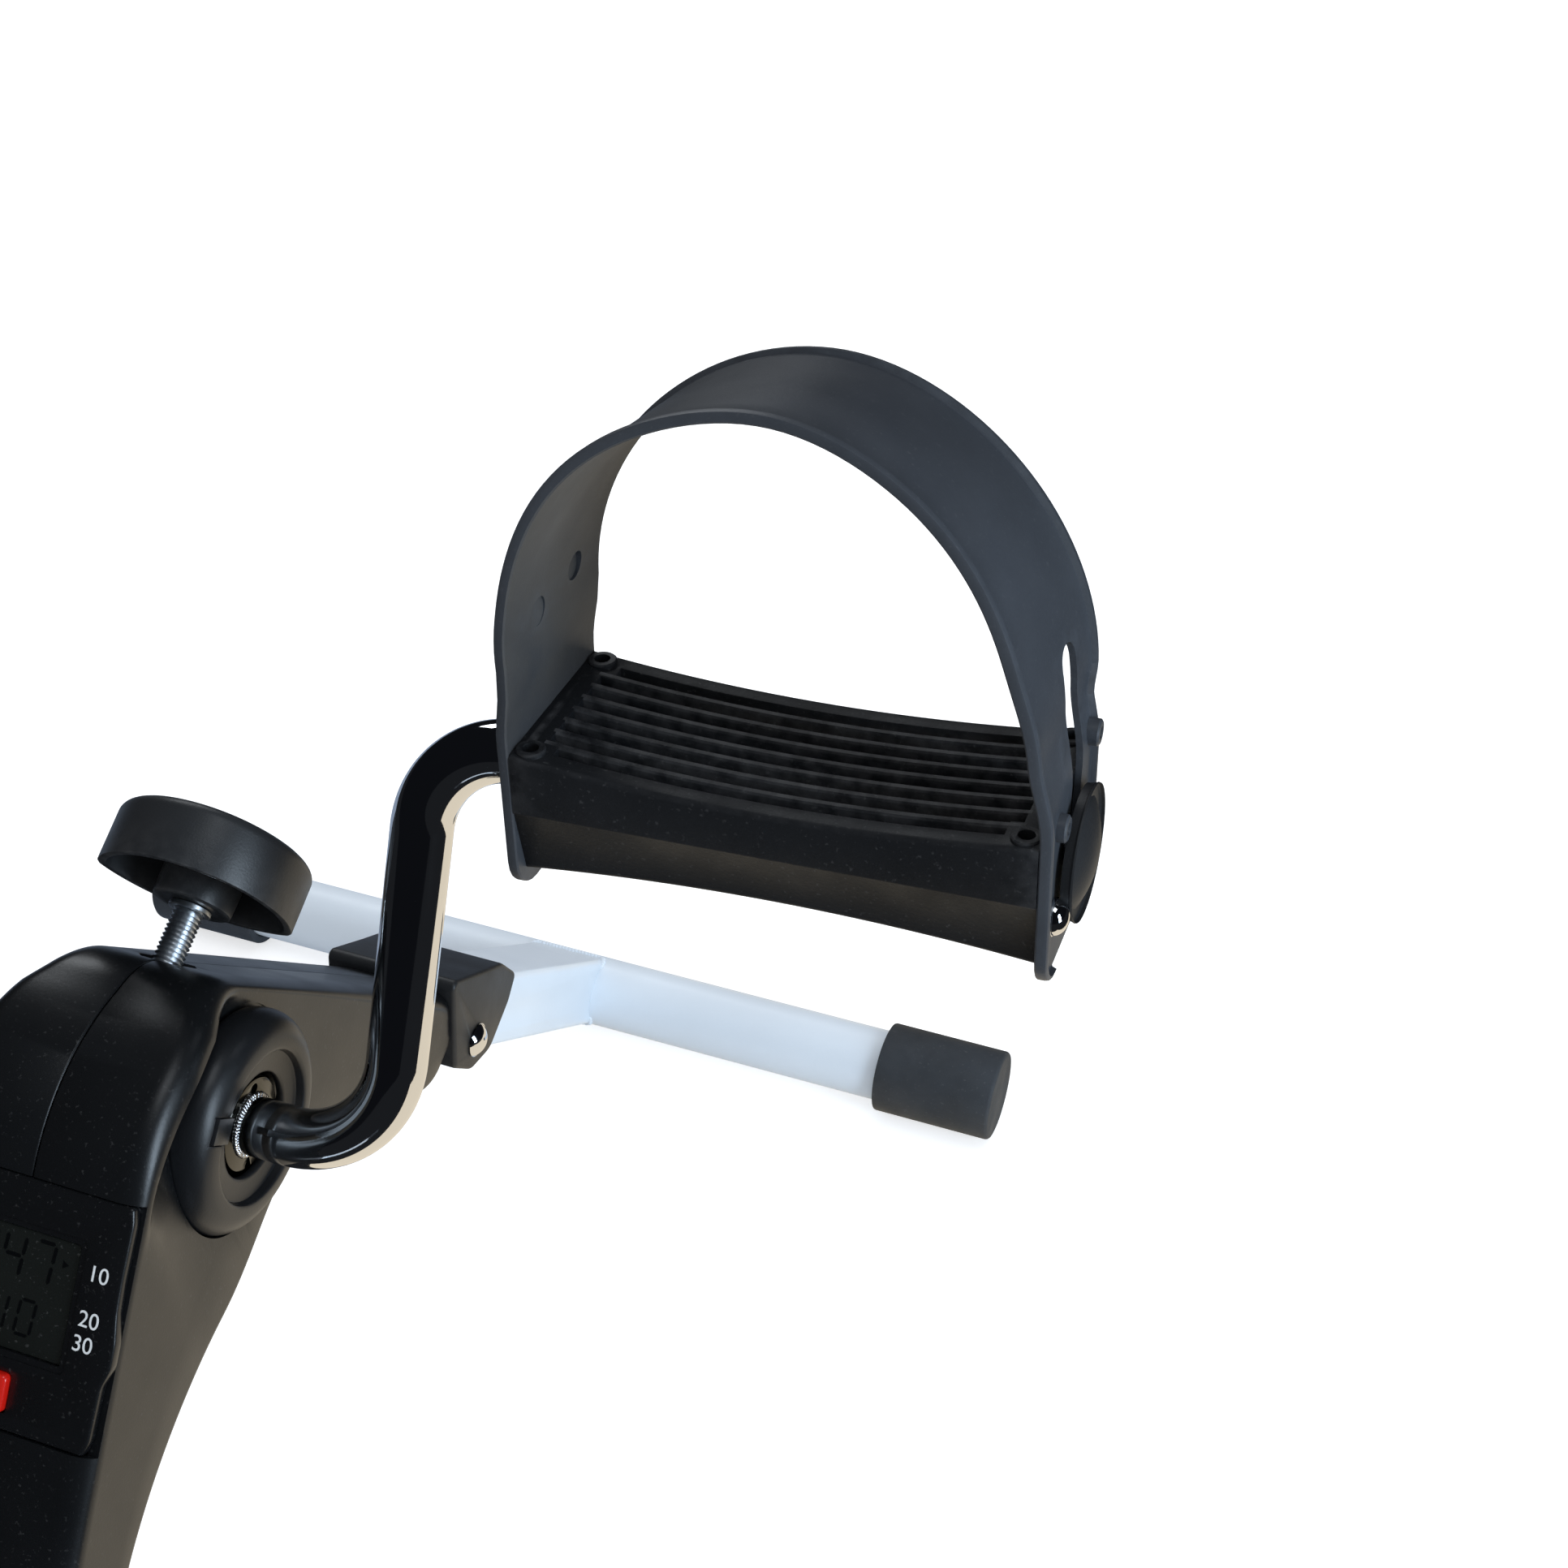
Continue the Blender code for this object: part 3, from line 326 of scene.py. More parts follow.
def newFinish(name, look):
    # a finish with its own colour drift, roughness drift, grain, specks and edge wear
    look = {**plainLook, **look}
    paint, tree, shader = newPaint(name)
    spot = wire(tree, "ShaderNodeTexCoord").outputs["Object"]
    drift = clouds(tree, spot, look["driftScale"], 5.0, 0.3, 0.7)
    light = tuple(min(1.0, part * (1 + look["drift"])) for part in look["colour"])
    dark = tuple(part * (1 - look["drift"]) for part in look["colour"])
    colour = mixTones(tree, drift, (*dark, 1), light)
    rough = clouds(tree, spot, look["smearScale"], 6.0, 0.3, 0.7,
                   To_Min=max(0.02, look["roughness"] - look["roughSpread"]),
                   To_Max=look["roughness"] + look["roughSpread"])
    if "dust" in look:                                 # pale specks lying on the surface
        amount, tone = look["dust"]
        specks = clouds(tree, spot, look["speckScale"], 2.0, 0.64, 0.74)
        patch = wire(tree, "ShaderNodeTexNoise", Vector=spot, Scale=look["patchScale"], Detail=3.0)
        specks = maths(tree, "MULTIPLY", specks, patch.outputs["Fac"])
        colour = mixTones(tree, maths(tree, "MULTIPLY", specks, amount), colour, tone)
    if "film" in look:                                 # a dull film where the piece's own attribute says
        amount, tone = look["film"]
        where = wire(tree, "ShaderNodeAttribute", {"attribute_name": "film"}).outputs["Fac"]
        cloud = clouds(tree, spot, look["filmScale"], 6.0, 0.2, 0.75, 0.65,
                       To_Min=0.25 * amount, To_Max=amount)
        cloud = maths(tree, "MULTIPLY", cloud, where)
        colour = mixTones(tree, cloud, colour, tone)
        rough = wire(tree, "ShaderNodeMix", {"data_type": "FLOAT"}, Factor=cloud, n2=rough,
                     n3=look["filmRoughness"]).outputs[0]
    if "wear" in look:                                 # rubbed edges
        amount, tone = look["wear"]
        edge = wire(tree, "ShaderNodeNewGeometry").outputs["Pointiness"]
        edge = wire(tree, "ShaderNodeMapRange", Value=edge, From_Min=0.52, From_Max=0.62).outputs[0]
        edge = maths(tree, "MULTIPLY", edge, clouds(tree, spot, look["rubScale"], 4.0, 0.35, 0.65))
        colour = mixTones(tree, maths(tree, "MULTIPLY", edge, amount), colour, tone)
    tree.links.new(colour, shader.inputs["Base Color"])
    tree.links.new(rough, shader.inputs["Roughness"])
    grainScale, grainDepth = look["grain"]
    grain = wire(tree, "ShaderNodeTexNoise", Vector=spot, Scale=grainScale, Detail=3.0)
    bump = wire(tree, "ShaderNodeBump", Strength=grainDepth, Distance=0.0004, Height=grain.outputs["Fac"])
    if "swell" in look:                                # slow waviness of moulded or drawn surfaces
        swellScale, swellDepth = look["swell"]
        swell = wire(tree, "ShaderNodeTexNoise", Vector=spot, Scale=swellScale, Detail=1.0)
        bump = wire(tree, "ShaderNodeBump", Strength=swellDepth, Distance=0.002, Height=swell.outputs["Fac"],
                    Normal=bump.outputs[0])
    tree.links.new(bump.outputs[0], shader.inputs["Normal"])
    for socket, word in (("Metallic", "metallic"), ("Specular IOR Level", "specular"),
                         ("Coat Weight", "coat"), ("Coat Roughness", "coatRoughness")):
        shader.inputs[socket].default_value = look[word]
    return paint


finishes = {
    "housing": {"colour": (0.006, 0.0068, 0.008), "roughness": 0.34, "roughSpread": 0.03, "drift": 0.15,
                "grain": (1300.0, 0.05), "swell": (30.0, 0.03), "dust": (0.12, (0.3, 0.3, 0.3))},
    "cover": {"colour": (0.010, 0.011, 0.013), "roughness": 0.36, "roughSpread": 0.03, "drift": 0.15,
              "grain": (1500.0, 0.06), "wear": (0.2, (0.10, 0.11, 0.12))},
    "knob": {"colour": (0.020, 0.022, 0.025), "roughness": 0.42, "roughSpread": 0.04, "drift": 0.1,
             "grain": (1600.0, 0.12), "wear": (0.7, (0.16, 0.16, 0.16))},
    "saddle": {"colour": (0.016, 0.017, 0.019), "roughness": 0.46, "roughSpread": 0.05,
               "grain": (1400.0, 0.1), "wear": (0.3, (0.12, 0.13, 0.14))},
    "console": {"colour": (0.006, 0.0065, 0.0075), "roughness": 0.27, "roughSpread": 0.03, "drift": 0.1,
                "grain": (1500.0, 0.03), "dust": (0.15, (0.3, 0.3, 0.3))},
    "spindle": {"colour": (0.020, 0.021, 0.023), "roughness": 0.5, "roughSpread": 0.04, "specular": 0.25,
                "grain": (1600.0, 0.12)},
    "darkSteel": {"colour": (0.095, 0.09, 0.078), "roughness": 0.16, "roughSpread": 0.04, "metallic": 1.0,
                  "grain": (700.0, 0.04)},
    "pedal": {"colour": (0.011, 0.012, 0.014), "roughness": 0.5, "roughSpread": 0.07, "specular": 0.22,
              "grain": (1100.0, 0.14), "dust": (0.18, (0.24, 0.24, 0.24)),
              "wear": (0.5, (0.13, 0.13, 0.135))},
    "strap": {"colour": (0.042, 0.048, 0.058), "roughness": 0.47, "roughSpread": 0.05, "drift": 0.18,
              "grain": (1200.0, 0.1), "film": (0.85, (0.082, 0.073, 0.06)),
              "wear": (0.12, (0.12, 0.14, 0.17)), "dust": (0.1, (0.3, 0.3, 0.3))},
    "cap": {"colour": (0.032, 0.038, 0.046), "roughness": 0.72, "roughSpread": 0.1, "drift": 0.25,
            "driftScale": 40.0, "grain": (800.0, 0.2), "dust": (0.25, (0.2, 0.2, 0.2)),
            "wear": (0.3, (0.1, 0.1, 0.1))},
    "chrome": {"colour": (0.80, 0.81, 0.83), "roughness": 0.05, "roughSpread": 0.02, "drift": 0.02,
               "metallic": 1.0, "grain": (300.0, 0.01), "swell": (25.0, 0.01)},
    "weld": {"colour": (0.60, 0.60, 0.62), "roughness": 0.22, "roughSpread": 0.1, "drift": 0.3,
             "driftScale": 300.0, "metallic": 1.0, "grain": (500.0, 0.2)},
    "zinc": {"colour": (0.82, 0.85, 0.88), "roughness": 0.36, "roughSpread": 0.08, "drift": 0.1,
             "driftScale": 120.0, "metallic": 1.0, "grain": (900.0, 0.08)},
    "steel": {"colour": (0.40, 0.40, 0.41), "roughness": 0.42, "roughSpread": 0.1, "metallic": 1.0,
              "grain": (600.0, 0.15)},
    "whitePaint": {"colour": (0.77, 0.84, 0.91), "roughness": 0.40, "roughSpread": 0.05, "drift": 0.03,
                   "grain": (620.0, 0.10), "swell": (60.0, 0.03)},
    "glass": {"colour": (0.010, 0.0115, 0.0105), "roughness": 0.14, "roughSpread": 0.03, "drift": 0.12,
              "grain": (900.0, 0.01), "dust": (0.2, (0.3, 0.3, 0.3))},
    "segment": {"colour": (0.0025, 0.003, 0.0035), "roughness": 0.3, "drift": 0.1},
    "print": {"colour": (0.72, 0.75, 0.76), "roughness": 0.5, "drift": 0.06, "driftScale": 600.0},
    "red": {"colour": (0.62, 0.012, 0.006), "roughness": 0.24, "roughSpread": 0.04, "drift": 0.08,
            "grain": (1200.0, 0.03), "coat": 0.3},
    "board": {"colour": (0.02, 0.16, 0.06), "roughness": 0.45, "driftScale": 180.0, "drift": 0.3},
    "nylon": {"colour": (0.72, 0.70, 0.62), "roughness": 0.5, "drift": 0.06},
    "felt": {"colour": (0.28, 0.15, 0.08), "roughness": 0.95, "drift": 0.35, "driftScale": 500.0,
             "grain": (700.0, 0.8)},
    "reed": {"colour": (0.02, 0.022, 0.022), "roughness": 0.2, "drift": 0.2},
}
finish = {name: newFinish(name, look) for name, look in finishes.items()}
print("finishes made:", len(finish))


def newTree(name, sizes, takesGeometry=False):
    # a geometry tree with named size inputs
    tree = bpy.data.node_groups.new(name, "GeometryNodeTree")
    if takesGeometry:
        tree.interface.new_socket("Geometry", in_out="INPUT", socket_type="NodeSocketGeometry")
    for word, value in sizes.items():
        kind = "NodeSocketInt" if isinstance(value, int) else "NodeSocketFloat"
        tree.interface.new_socket(word, in_out="INPUT", socket_type=kind).default_value = value
    tree.interface.new_socket("Geometry", in_out="OUTPUT", socket_type="NodeSocketGeometry")
    return tree, tree.nodes.new("NodeGroupInput").outputs


def grown(tree, kind, props=None, **inputs):
    # adds a geometry node and gives what comes out of it
    return wire(tree, "GeometryNode" + kind, props, **inputs).outputs[0]


def endTree(tree, geometry, paint):
    solid = grown(tree, "RealizeInstances", Geometry=geometry)
    dressed = grown(tree, "SetMaterial", Geometry=solid, Material=paint)
    tree.links.new(dressed, tree.nodes.new("NodeGroupOutput").inputs[0])
    return tree


def allMetres(sizes):
    return {name: size * mm for name, size in sizes.items()}


def inMetres(place):
    # a frame in millimetres, for a mesh that is already in metres
    lift = place.copy()
    lift.translation = place.translation * mm
    return lift


def grow(name, tree, sizes, place=None, base=None, angle=35.0):
    # runs the tree on a base of points and edges, in metres, and keeps the result as a plain mesh
    mesh = bpy.data.meshes.new(name)
    if base:
        edges = [(i, i + 1) for i in range(len(base) - 1)]
        mesh.from_pydata([Vector(point) * mm for point in base], edges, [])
    piece = addObject(name, mesh)
    step = piece.modifiers.new("Grow", "NODES")
    step.node_group = tree
    for socket in tree.interface.items_tree:
        if socket.in_out == "INPUT" and socket.name in sizes:
            step[socket.identifier] = sizes[socket.name]
    settle(piece)
    if place:
        piece.data.transform(inMetres(place))
    return shade(piece, angle)


def threadTree(sizes):
    # a ridge wound up the screw
    tree, given = newTree("screwThread", sizes)
    coil = grown(tree, "CurveSpiral", Resolution=28, Rotations=given["Turns"], Start_Radius=given["Radius"],
                 End_Radius=given["Radius"], Height=given["Height"])
    level = grown(tree, "SetCurveNormal", {"mode": "Z_UP"}, Curve=coil)
    ridge = grown(tree, "CurvePrimitiveCircle", Resolution=4, Radius=given["Ridge"])
    body = grown(tree, "CurveToMesh", Curve=level, Profile_Curve=ridge, Fill_Caps=True)
    return endTree(tree, body, finish["zinc"])


def slatTree(sizes):
    # curved bars side by side across the tread
    tree, given = newTree("treadSlats", sizes)
    half = maths(tree, "MULTIPLY", given["Length"], 0.5)
    back = maths(tree, "MULTIPLY", half, -1.0)
    lowMiddle = maths(tree, "SUBTRACT", maths(tree, "MULTIPLY", given["Middle"], 2.0), given["End"])
    line = grown(tree, "CurveQuadraticBezier", Resolution=24, Start=combineXyz(tree, back, 0.0, given["End"]),
                 Middle=combineXyz(tree, 0.0, 0.0, lowMiddle), End=combineXyz(tree, half, 0.0, given["End"]))
    level = grown(tree, "SetCurveNormal", {"mode": "Z_UP"}, Curve=line)
    blank = grown(tree, "CurvePrimitiveQuadrilateral", Width=given["Width"], Height=given["Depth"])
    soft = grown(tree, "FilletCurve", Curve=blank, Radius=given["Round"])
    bar = grown(tree, "CurveToMesh", Curve=level, Profile_Curve=soft, Fill_Caps=True)
    span = maths(tree, "MULTIPLY", given["Pitch"], maths(tree, "SUBTRACT", given["Count"], 1.0))
    start = maths(tree, "MULTIPLY", span, -0.5)
    row = grown(tree, "MeshLine", Count=given["Count"], Start_Location=combineXyz(tree, 0.0, start, 0.0),
                Offset=combineXyz(tree, 0.0, given["Pitch"], 0.0))
    return endTree(tree, grown(tree, "InstanceOnPoints", Points=row, Instance=bar), finish["pedal"])


def beadSizes(given, seed):
    return {**allMetres({"Spacing": given["beadGap"], "Size": given["beadR"]}), "Seed": seed}


def beadTree(name, sizes, paint):
    # overlapping beads of weld along a path
    tree, given = newTree(name, sizes, True)
    path = grown(tree, "MeshToCurve", Mesh=given["Geometry"])
    marks = grown(tree, "ResampleCurve", {"mode": "LENGTH"}, Curve=path, Length=given["Spacing"])
    bead = grown(tree, "MeshIcoSphere", Radius=given["Size"], Subdivisions=3)
    spread = wire(tree, "FunctionNodeRandomValue", {"data_type": "FLOAT"}, n2=0.85, n3=1.15,
                  Seed=given["Seed"])
    many = grown(tree, "InstanceOnPoints", Points=marks, Instance=bead, Scale=spread.outputs[1])
    return endTree(tree, many, paint)


def rivetTree(sizes):
    # two domed heads, each facing away from the other
    tree, given = newTree("domedRivets", sizes)
    squeeze = combineXyz(tree, maths(tree, "DIVIDE", given["Height"], given["Radius"]), 1.0, 1.0)
    dome = grown(tree, "MeshUVSphere", Segments=40, Rings=24, Radius=given["Radius"])
    flange = grown(tree, "MeshCylinder", Vertices=40, Radius=given["Flange"], Depth=given["Lip"])
    head = wire(tree, "GeometryNodeJoinGeometry")
    tree.links.new(grown(tree, "Transform", Geometry=dome, Scale=squeeze), head.inputs[0])
    tree.links.new(grown(tree, "Transform", Geometry=flange, Rotation=(0.0, pi / 2, 0.0)), head.inputs[0])
    row = grown(tree, "MeshLine", Count=2, Start_Location=combineXyz(tree, given["Inner"]),
                Offset=combineXyz(tree, maths(tree, "SUBTRACT", given["Outer"], given["Inner"])))
    index = wire(tree, "GeometryNodeInputIndex").outputs[0]
    turn = combineXyz(tree, 0.0, 0.0, maths(tree, "MULTIPLY", index, pi))
    pair = grown(tree, "InstanceOnPoints", Points=row, Instance=head.outputs[0], Rotation=turn)
    return endTree(tree, pair, finish["chrome"])


def copyTree(name, template, paint):
    # puts a copy of the template on every point of the base
    tree, given = newTree(name, {}, True)
    made = wire(tree, "GeometryNodeObjectInfo", Object=template).outputs["Geometry"]
    return endTree(tree, grown(tree, "InstanceOnPoints", Points=given["Geometry"], Instance=made), paint)


# Camera, floor and light

cameraSet = {"turn": 20.5, "rise": 40.3, "roll": -0.4, "spot": (302.2, -342.7, 658.2), "focal": 2995.0,
             "frame": 1932.0, "sensor": 36.0}


def makeCamera(given):
    a, e, r = radians(given["turn"]), radians(given["rise"]), radians(given["roll"])
    back = Vector((sin(a) * cos(e), -cos(a) * cos(e), sin(e)))
    right = Vector((cos(a), sin(a), 0.0))
    up = right.cross(-back)
    across = cos(r) * right + sin(r) * up
    upward = -sin(r) * right + cos(r) * up
    camera = addObject("camera", bpy.data.cameras.new("camera"))
    camera.data.sensor_width = given["sensor"]
    camera.data.lens = given["focal"] / given["frame"] * given["sensor"]
    camera.data.clip_start, camera.data.clip_end = 0.01, 100.0
    turn = Matrix((across, upward, back)).transposed().to_4x4()
    camera.matrix_world = Matrix.Translation(Vector(given["spot"]) * mm) @ turn
    bpy.context.scene.camera = camera


studio = {"floorHalf": 6.0, "floorHeight": -0.05, "floorPaint": 0.8, "floorGlow": 0.62,
          "ambient": (0.56, 0.57, 0.59)}
lamps = (
    # name, place, aim, width, height, power, colour
    ("highLamp", (0.45, -0.1, 1.55), (0.05, 0.0, 0.2), 0.55, 0.55, 2.5, (0.90, 0.95, 1.0)),
    ("rightLamp", (1.5, -0.35, 0.62), (0.05, 0.0, 0.2), 0.4, 1.0, 15.0, (0.70, 0.85, 1.0)),
    ("backLamp", (-0.7, 1.2, 1.1), (0.0, 0.0, 0.2), 0.8, 0.5, 5.0, (0.92, 0.96, 1.0)),
)


def lookAt(spot, target):
    return (Vector(target) - Vector(spot)).to_track_quat("-Z", "Y").to_matrix().to_4x4()


def sheet(low, high, height):
    corners = [(low[0], low[1], height), (high[0], low[1], height), (high[0], high[1], height),
               (low[0], high[1], height)]
    return corners, [(0, 1, 2, 3)]


def rayKinds(tree):
    # 1 for rays from the camera, off metal and through glass
    kinds = wire(tree, "ShaderNodeLightPath").outputs
    seen = maths(tree, "MAXIMUM", kinds["Is Camera Ray"], kinds["Is Glossy Ray"])
    return maths(tree, "MAXIMUM", seen, kinds["Is Transmission Ray"])


def makeStudio(given):
    half = given["floorHalf"] / mm
    paint, tree = bareFinish("floorPaint")
    white = wire(tree, "ShaderNodeBsdfDiffuse", Color=(given["floorPaint"],) * 3 + (1,))
    glow = wire(tree, "ShaderNodeEmission",
                Strength=maths(tree, "MULTIPLY", rayKinds(tree), given["floorGlow"]))
    endShader(tree, wire(tree, "ShaderNodeAddShader", n0=white.outputs[0], n1=glow.outputs[0]))
    floor = makePiece("floor", sheet((-half, -half), (half, half), given["floorHeight"]), paint)
    world = bpy.data.worlds.new("studio")
    bpy.context.scene.world = world
    world.use_nodes = True
    tree = world.node_tree
    soft = wire(tree, "ShaderNodeBackground", Color=(*given["ambient"], 1))
    blank = wire(tree, "ShaderNodeBackground", Color=(1, 1, 1, 1))
    mix = wire(tree, "ShaderNodeMixShader", Fac=rayKinds(tree), n1=soft.outputs[0], n2=blank.outputs[0])
    endShader(tree, mix, "World Output")
    for name, spot, aim, wide, high, power, colour in lamps:
        light = bpy.data.lights.new(name, "AREA")
        light.shape = "RECTANGLE"
        light.size, light.size_y, light.energy, light.color = wide, high, power, colour
        lamp = addObject(name, light)
        lamp.matrix_world = Matrix.Translation(spot) @ lookAt(spot, aim)


darkCards = {
    "roomRadius": 3000.0, "roomTone": (0.0045, 0.005, 0.0065),         # the dim studio round the bike, a dark dome that is a painted reflection, seen only in glossy surfaces
    "roomRows": 13, "roomStep": 7, "roomSides": 40,
    "sheets": (                                        # sheets of painted reflection lying on the floor, seen only in glossy surfaces: name, corners, height, tone
        ("farSheet", (-3000.0, -3000.0), (3000.0, 3000.0), 0.1, (0.012, 0.013, 0.015)),
        # coolSheet and warmSheet paint a bluish and a warm reflection onto the glossy sides of the pieces
        ("coolSheet", (-900.0, 120.0), (0.0, 900.0), 0.3, (0.26, 0.32, 0.42)),
        ("warmSheet", (0.0, -110.0), (480.0, 480.0), 0.4, (0.84, 0.74, 0.58)),
    ),
}


def cardFinish(name, tone):
    paint, tree = bareFinish(name)
    endShader(tree, wire(tree, "ShaderNodeEmission", Color=(*tone, 1)))
    return paint


def makeCards(given):
    # cards that only show as reflections: the dim room and the floor close to the bike
    radius, sides = given["roomRadius"], given["roomSides"]
    turns = [2 * pi * i / sides for i in range(sides)]
    rings = []
    for k in range(given["roomRows"]):
        a = radians(given["roomStep"] * k)
        rings.append([(radius * cos(a) * cos(t), radius * cos(a) * sin(t), radius * sin(a)) for t in turns])
    verts, faces = loft(rings)
    faces.pop(-2)                                      # open below
    room = makePiece("roomCard", (verts, faces), cardFinish("roomCard", given["roomTone"]))
    cards = [room]
    for name, low, high, lift, tone in given["sheets"]:
        cards.append(makePiece(name, sheet(low, high, lift), cardFinish(name, tone)))
    for card in cards:
        card.visible_camera = card.visible_diffuse = card.visible_shadow = False
        card.visible_transmission = card.visible_volume_scatter = False


bpy.context.scene.view_settings.view_transform = "Standard"
makeCamera(cameraSet)
makeStudio(studio)
makeCards(darkCards)
print("camera, floor and light made")


# Housing: an inverted V in two halves

housing = {
    "legTilt": radians(52.3), "legOffset": 50.7, "armTilt": radians(45.0), "crestZ": 234.3,
    "noseR": 50.0, "crownR": 20.0, "crownY": -0.3, "archR": 117.2, "archZ": 34.3,
    "legMarks": (-123.5, -118.0, -110.0, -101.0, -88.0, -60.0, -30.0),
    "armMarks": (0.0, 30.0, 82.0, 103.0, 118.0, 132.0, 144.0),
    "toe": (100.8, 114.1, 12.0), "toeEnd": (111.5, 105.8),
    "archMarks": (-46.5, -37, -28, -21, -14, -7, 0, 7, 14, 21, 28, 37, 46.5),
    "edgeR": 7.0, "slopeEnd": 11.5, "lowR": 3.2, "seam": 0.15, "seamBreak": 0.45,
    "step": 0.2, "screwOut": bike["wall"] + 2.3,
    "screws": (                                        # angle on the arch, wall, how far the boss passes it
        (-44.0, 30.0, -1.2), (-20.0, 24.5, 4.0), (20.0, 20.5, -1.2), (44.0, 20.5, -1.2),
    ),
    "bossR": 3.6, "screwR": 1.9, "headR": 3.4, "headSeat": 2.3,         # round each housing screw
    "hubBore": (13.0, 8.0, 20.0),                      # radius, and from where to where
    "coverSeat": (0.6, 45.0),                          # how deep the cover's seat goes in, and its far end
    "knobSlot": ((8.6, 0.0, 1.5), (4.8, 5.3, 1.2), (-4.8, 5.3, 1.2), (-8.6, 0.0, 1.5), (-4.8, -5.3, 1.2),
                 (4.8, -5.3, 1.2)),
}
screwFrame = Matrix.Translation((0.0, 11.7, 222.1)) @ Matrix.Rotation(-radians(62.8), 4, "X")


def legPoint(along, depth=0.0):
    # a point (y, z) along the front leg's face and below it
    tilt = housing["legTilt"]
    reach = housing["legOffset"] - depth
    y = -reach * sin(tilt) + along * cos(tilt)
    z = bike["hubHeight"] + reach * cos(tilt) + along * sin(tilt)
    return y, z


def between(marks, place):
    # value at a fractional place in a list of numbers
    i = min(int(place), len(marks) - 2)
    return marks[i] + (marks[i + 1] - marks[i]) * (place - i)


def outerPoint(station):
    # the outer line of the side view: leg, nose, crest, crown and arm
    given = housing
    if station <= 6:
        return legPoint(between(given["legMarks"], station))
    noseZ = given["crestZ"] - given["noseR"]
    rest = (noseZ - bike["hubHeight"]) * cos(given["legTilt"])
    noseY = -(given["legOffset"] - given["noseR"] - rest) / sin(given["legTilt"])
    if station < 7:
        start = Vector(legPoint(given["legMarks"][6]))
        end = Vector(onCircle((noseY, noseZ), given["noseR"], -given["legTilt"]))
        return tuple(start.lerp(end, station - 6))
    if station <= 11:
        return onCircle((noseY, noseZ), given["noseR"], -given["legTilt"] * (11 - station) / 4)
    if station < 12:
        return noseY + (given["crownY"] - noseY) * (station - 11), given["crestZ"]
    crown = (given["crownY"], given["crestZ"] - given["crownR"])
    y, z = onCircle(crown, given["crownR"], given["armTilt"] * min(1.0, (station - 12) / 2))
    if station <= 14:
        return y, z
    run = between(given["armMarks"], station - 14)
    return y + run * cos(given["armTilt"]), z - run * sin(given["armTilt"])


def archPoint(angle, out=0.0):
    # a point (y, z) of the arch, or of a wider one, at so many degrees from its top
    return onCircle((0.0, housing["archZ"]), housing["archR"] + out, radians(angle))


def underPoint(station):
    # the under line: front toe, arch and rear toe
    given = housing
    if station > 10:
        y, z = underPoint(20 - station)
        return -y, z
    toeY, toeZ, toeR = given["toe"]
    if station >= 4:
        return archPoint(between(given["archMarks"], station - 4))
    turn = 15 - 30 * min(max(station - 1, 0.0), 2.0)
    point = Vector(onCircle((-toeY, toeZ), -toeR, radians(turn)))
    if station < 1:
        end = Vector((-given["toeEnd"][0], given["toeEnd"][1]))
        point = end.lerp(point, station)
    if station > 3:
        point = point.lerp(Vector(archPoint(given["archMarks"][0])), station - 3)
    return tuple(point)


def housingWidths(station):
    swell = bike["wideHalf"] - bike["slimHalf"]
    edge = bike["slimHalf"] + swell * (rise(station, 0, 2.6) - rise(station, 9.5, 14))
    flank = bike["slimHalf"] + swell * (rise(station, 0, 2.6) - rise(station, 6.6, 9.6))
    low = bike["slimHalf"] + swell * (rise(station, 0, 2.6) - rise(station, 8.0, 12.5))
    return edge, flank, low


def housingSection(station, inset):
    # one slice of a half shell, from the seam on top, round the side, to the seam below
    outer, under = outerPoint(station), underPoint(station)
    edgeHalf, sideHalf, lowHalf = housingWidths(station)
    run = Vector((under[0] - outer[0], under[1] - outer[1]))
    length = run.length
    run.normalize()
    radius = housing["edgeR"] - inset
    edge, side, lowSide = edgeHalf - inset, sideHalf - inset, lowHalf - inset
    seam = housing["seam"]
    chip = housing["seamBreak"] if inset == 0 else 0.01
    spots = [(seam, inset + chip), (seam + chip * 0.4, inset + chip * 0.35), (seam + chip, inset)]
    spots += [(edge - radius, inset)]
    spots += arcPoints((edge - radius, inset + radius), radius, 180, 90, 9)[1:]
    for k in range(1, 6):                              # the step below the edge, hollow then full
        share = k / 5
        fall = rise(share, 0, 1)
        depth = housing["edgeR"] + (housing["slopeEnd"] - housing["edgeR"]) * share
        spots.append((edge + (side - edge) * fall, depth))
    lowR = housing["lowR"] - inset
    low = length - inset
    for share in (0.25, 0.5, 0.75):                    # the flank itself, wider towards its under edge
        depth = housing["slopeEnd"] + (low - lowR - housing["slopeEnd"]) * share
        spots.append((side + (lowSide - side) * share, depth))
    spots += arcPoints((lowSide - lowR, low - lowR), lowR, 90, 0, 4)
    spots += [(seam + chip, low), (seam + chip * 0.4, low - chip * 0.35), (seam, low - chip)]
    return [(x, outer[0] + run.x * d, outer[1] + run.y * d) for x, d in spots]


def screwPoint(angle):
    return archPoint(angle, housing["screwOut"])


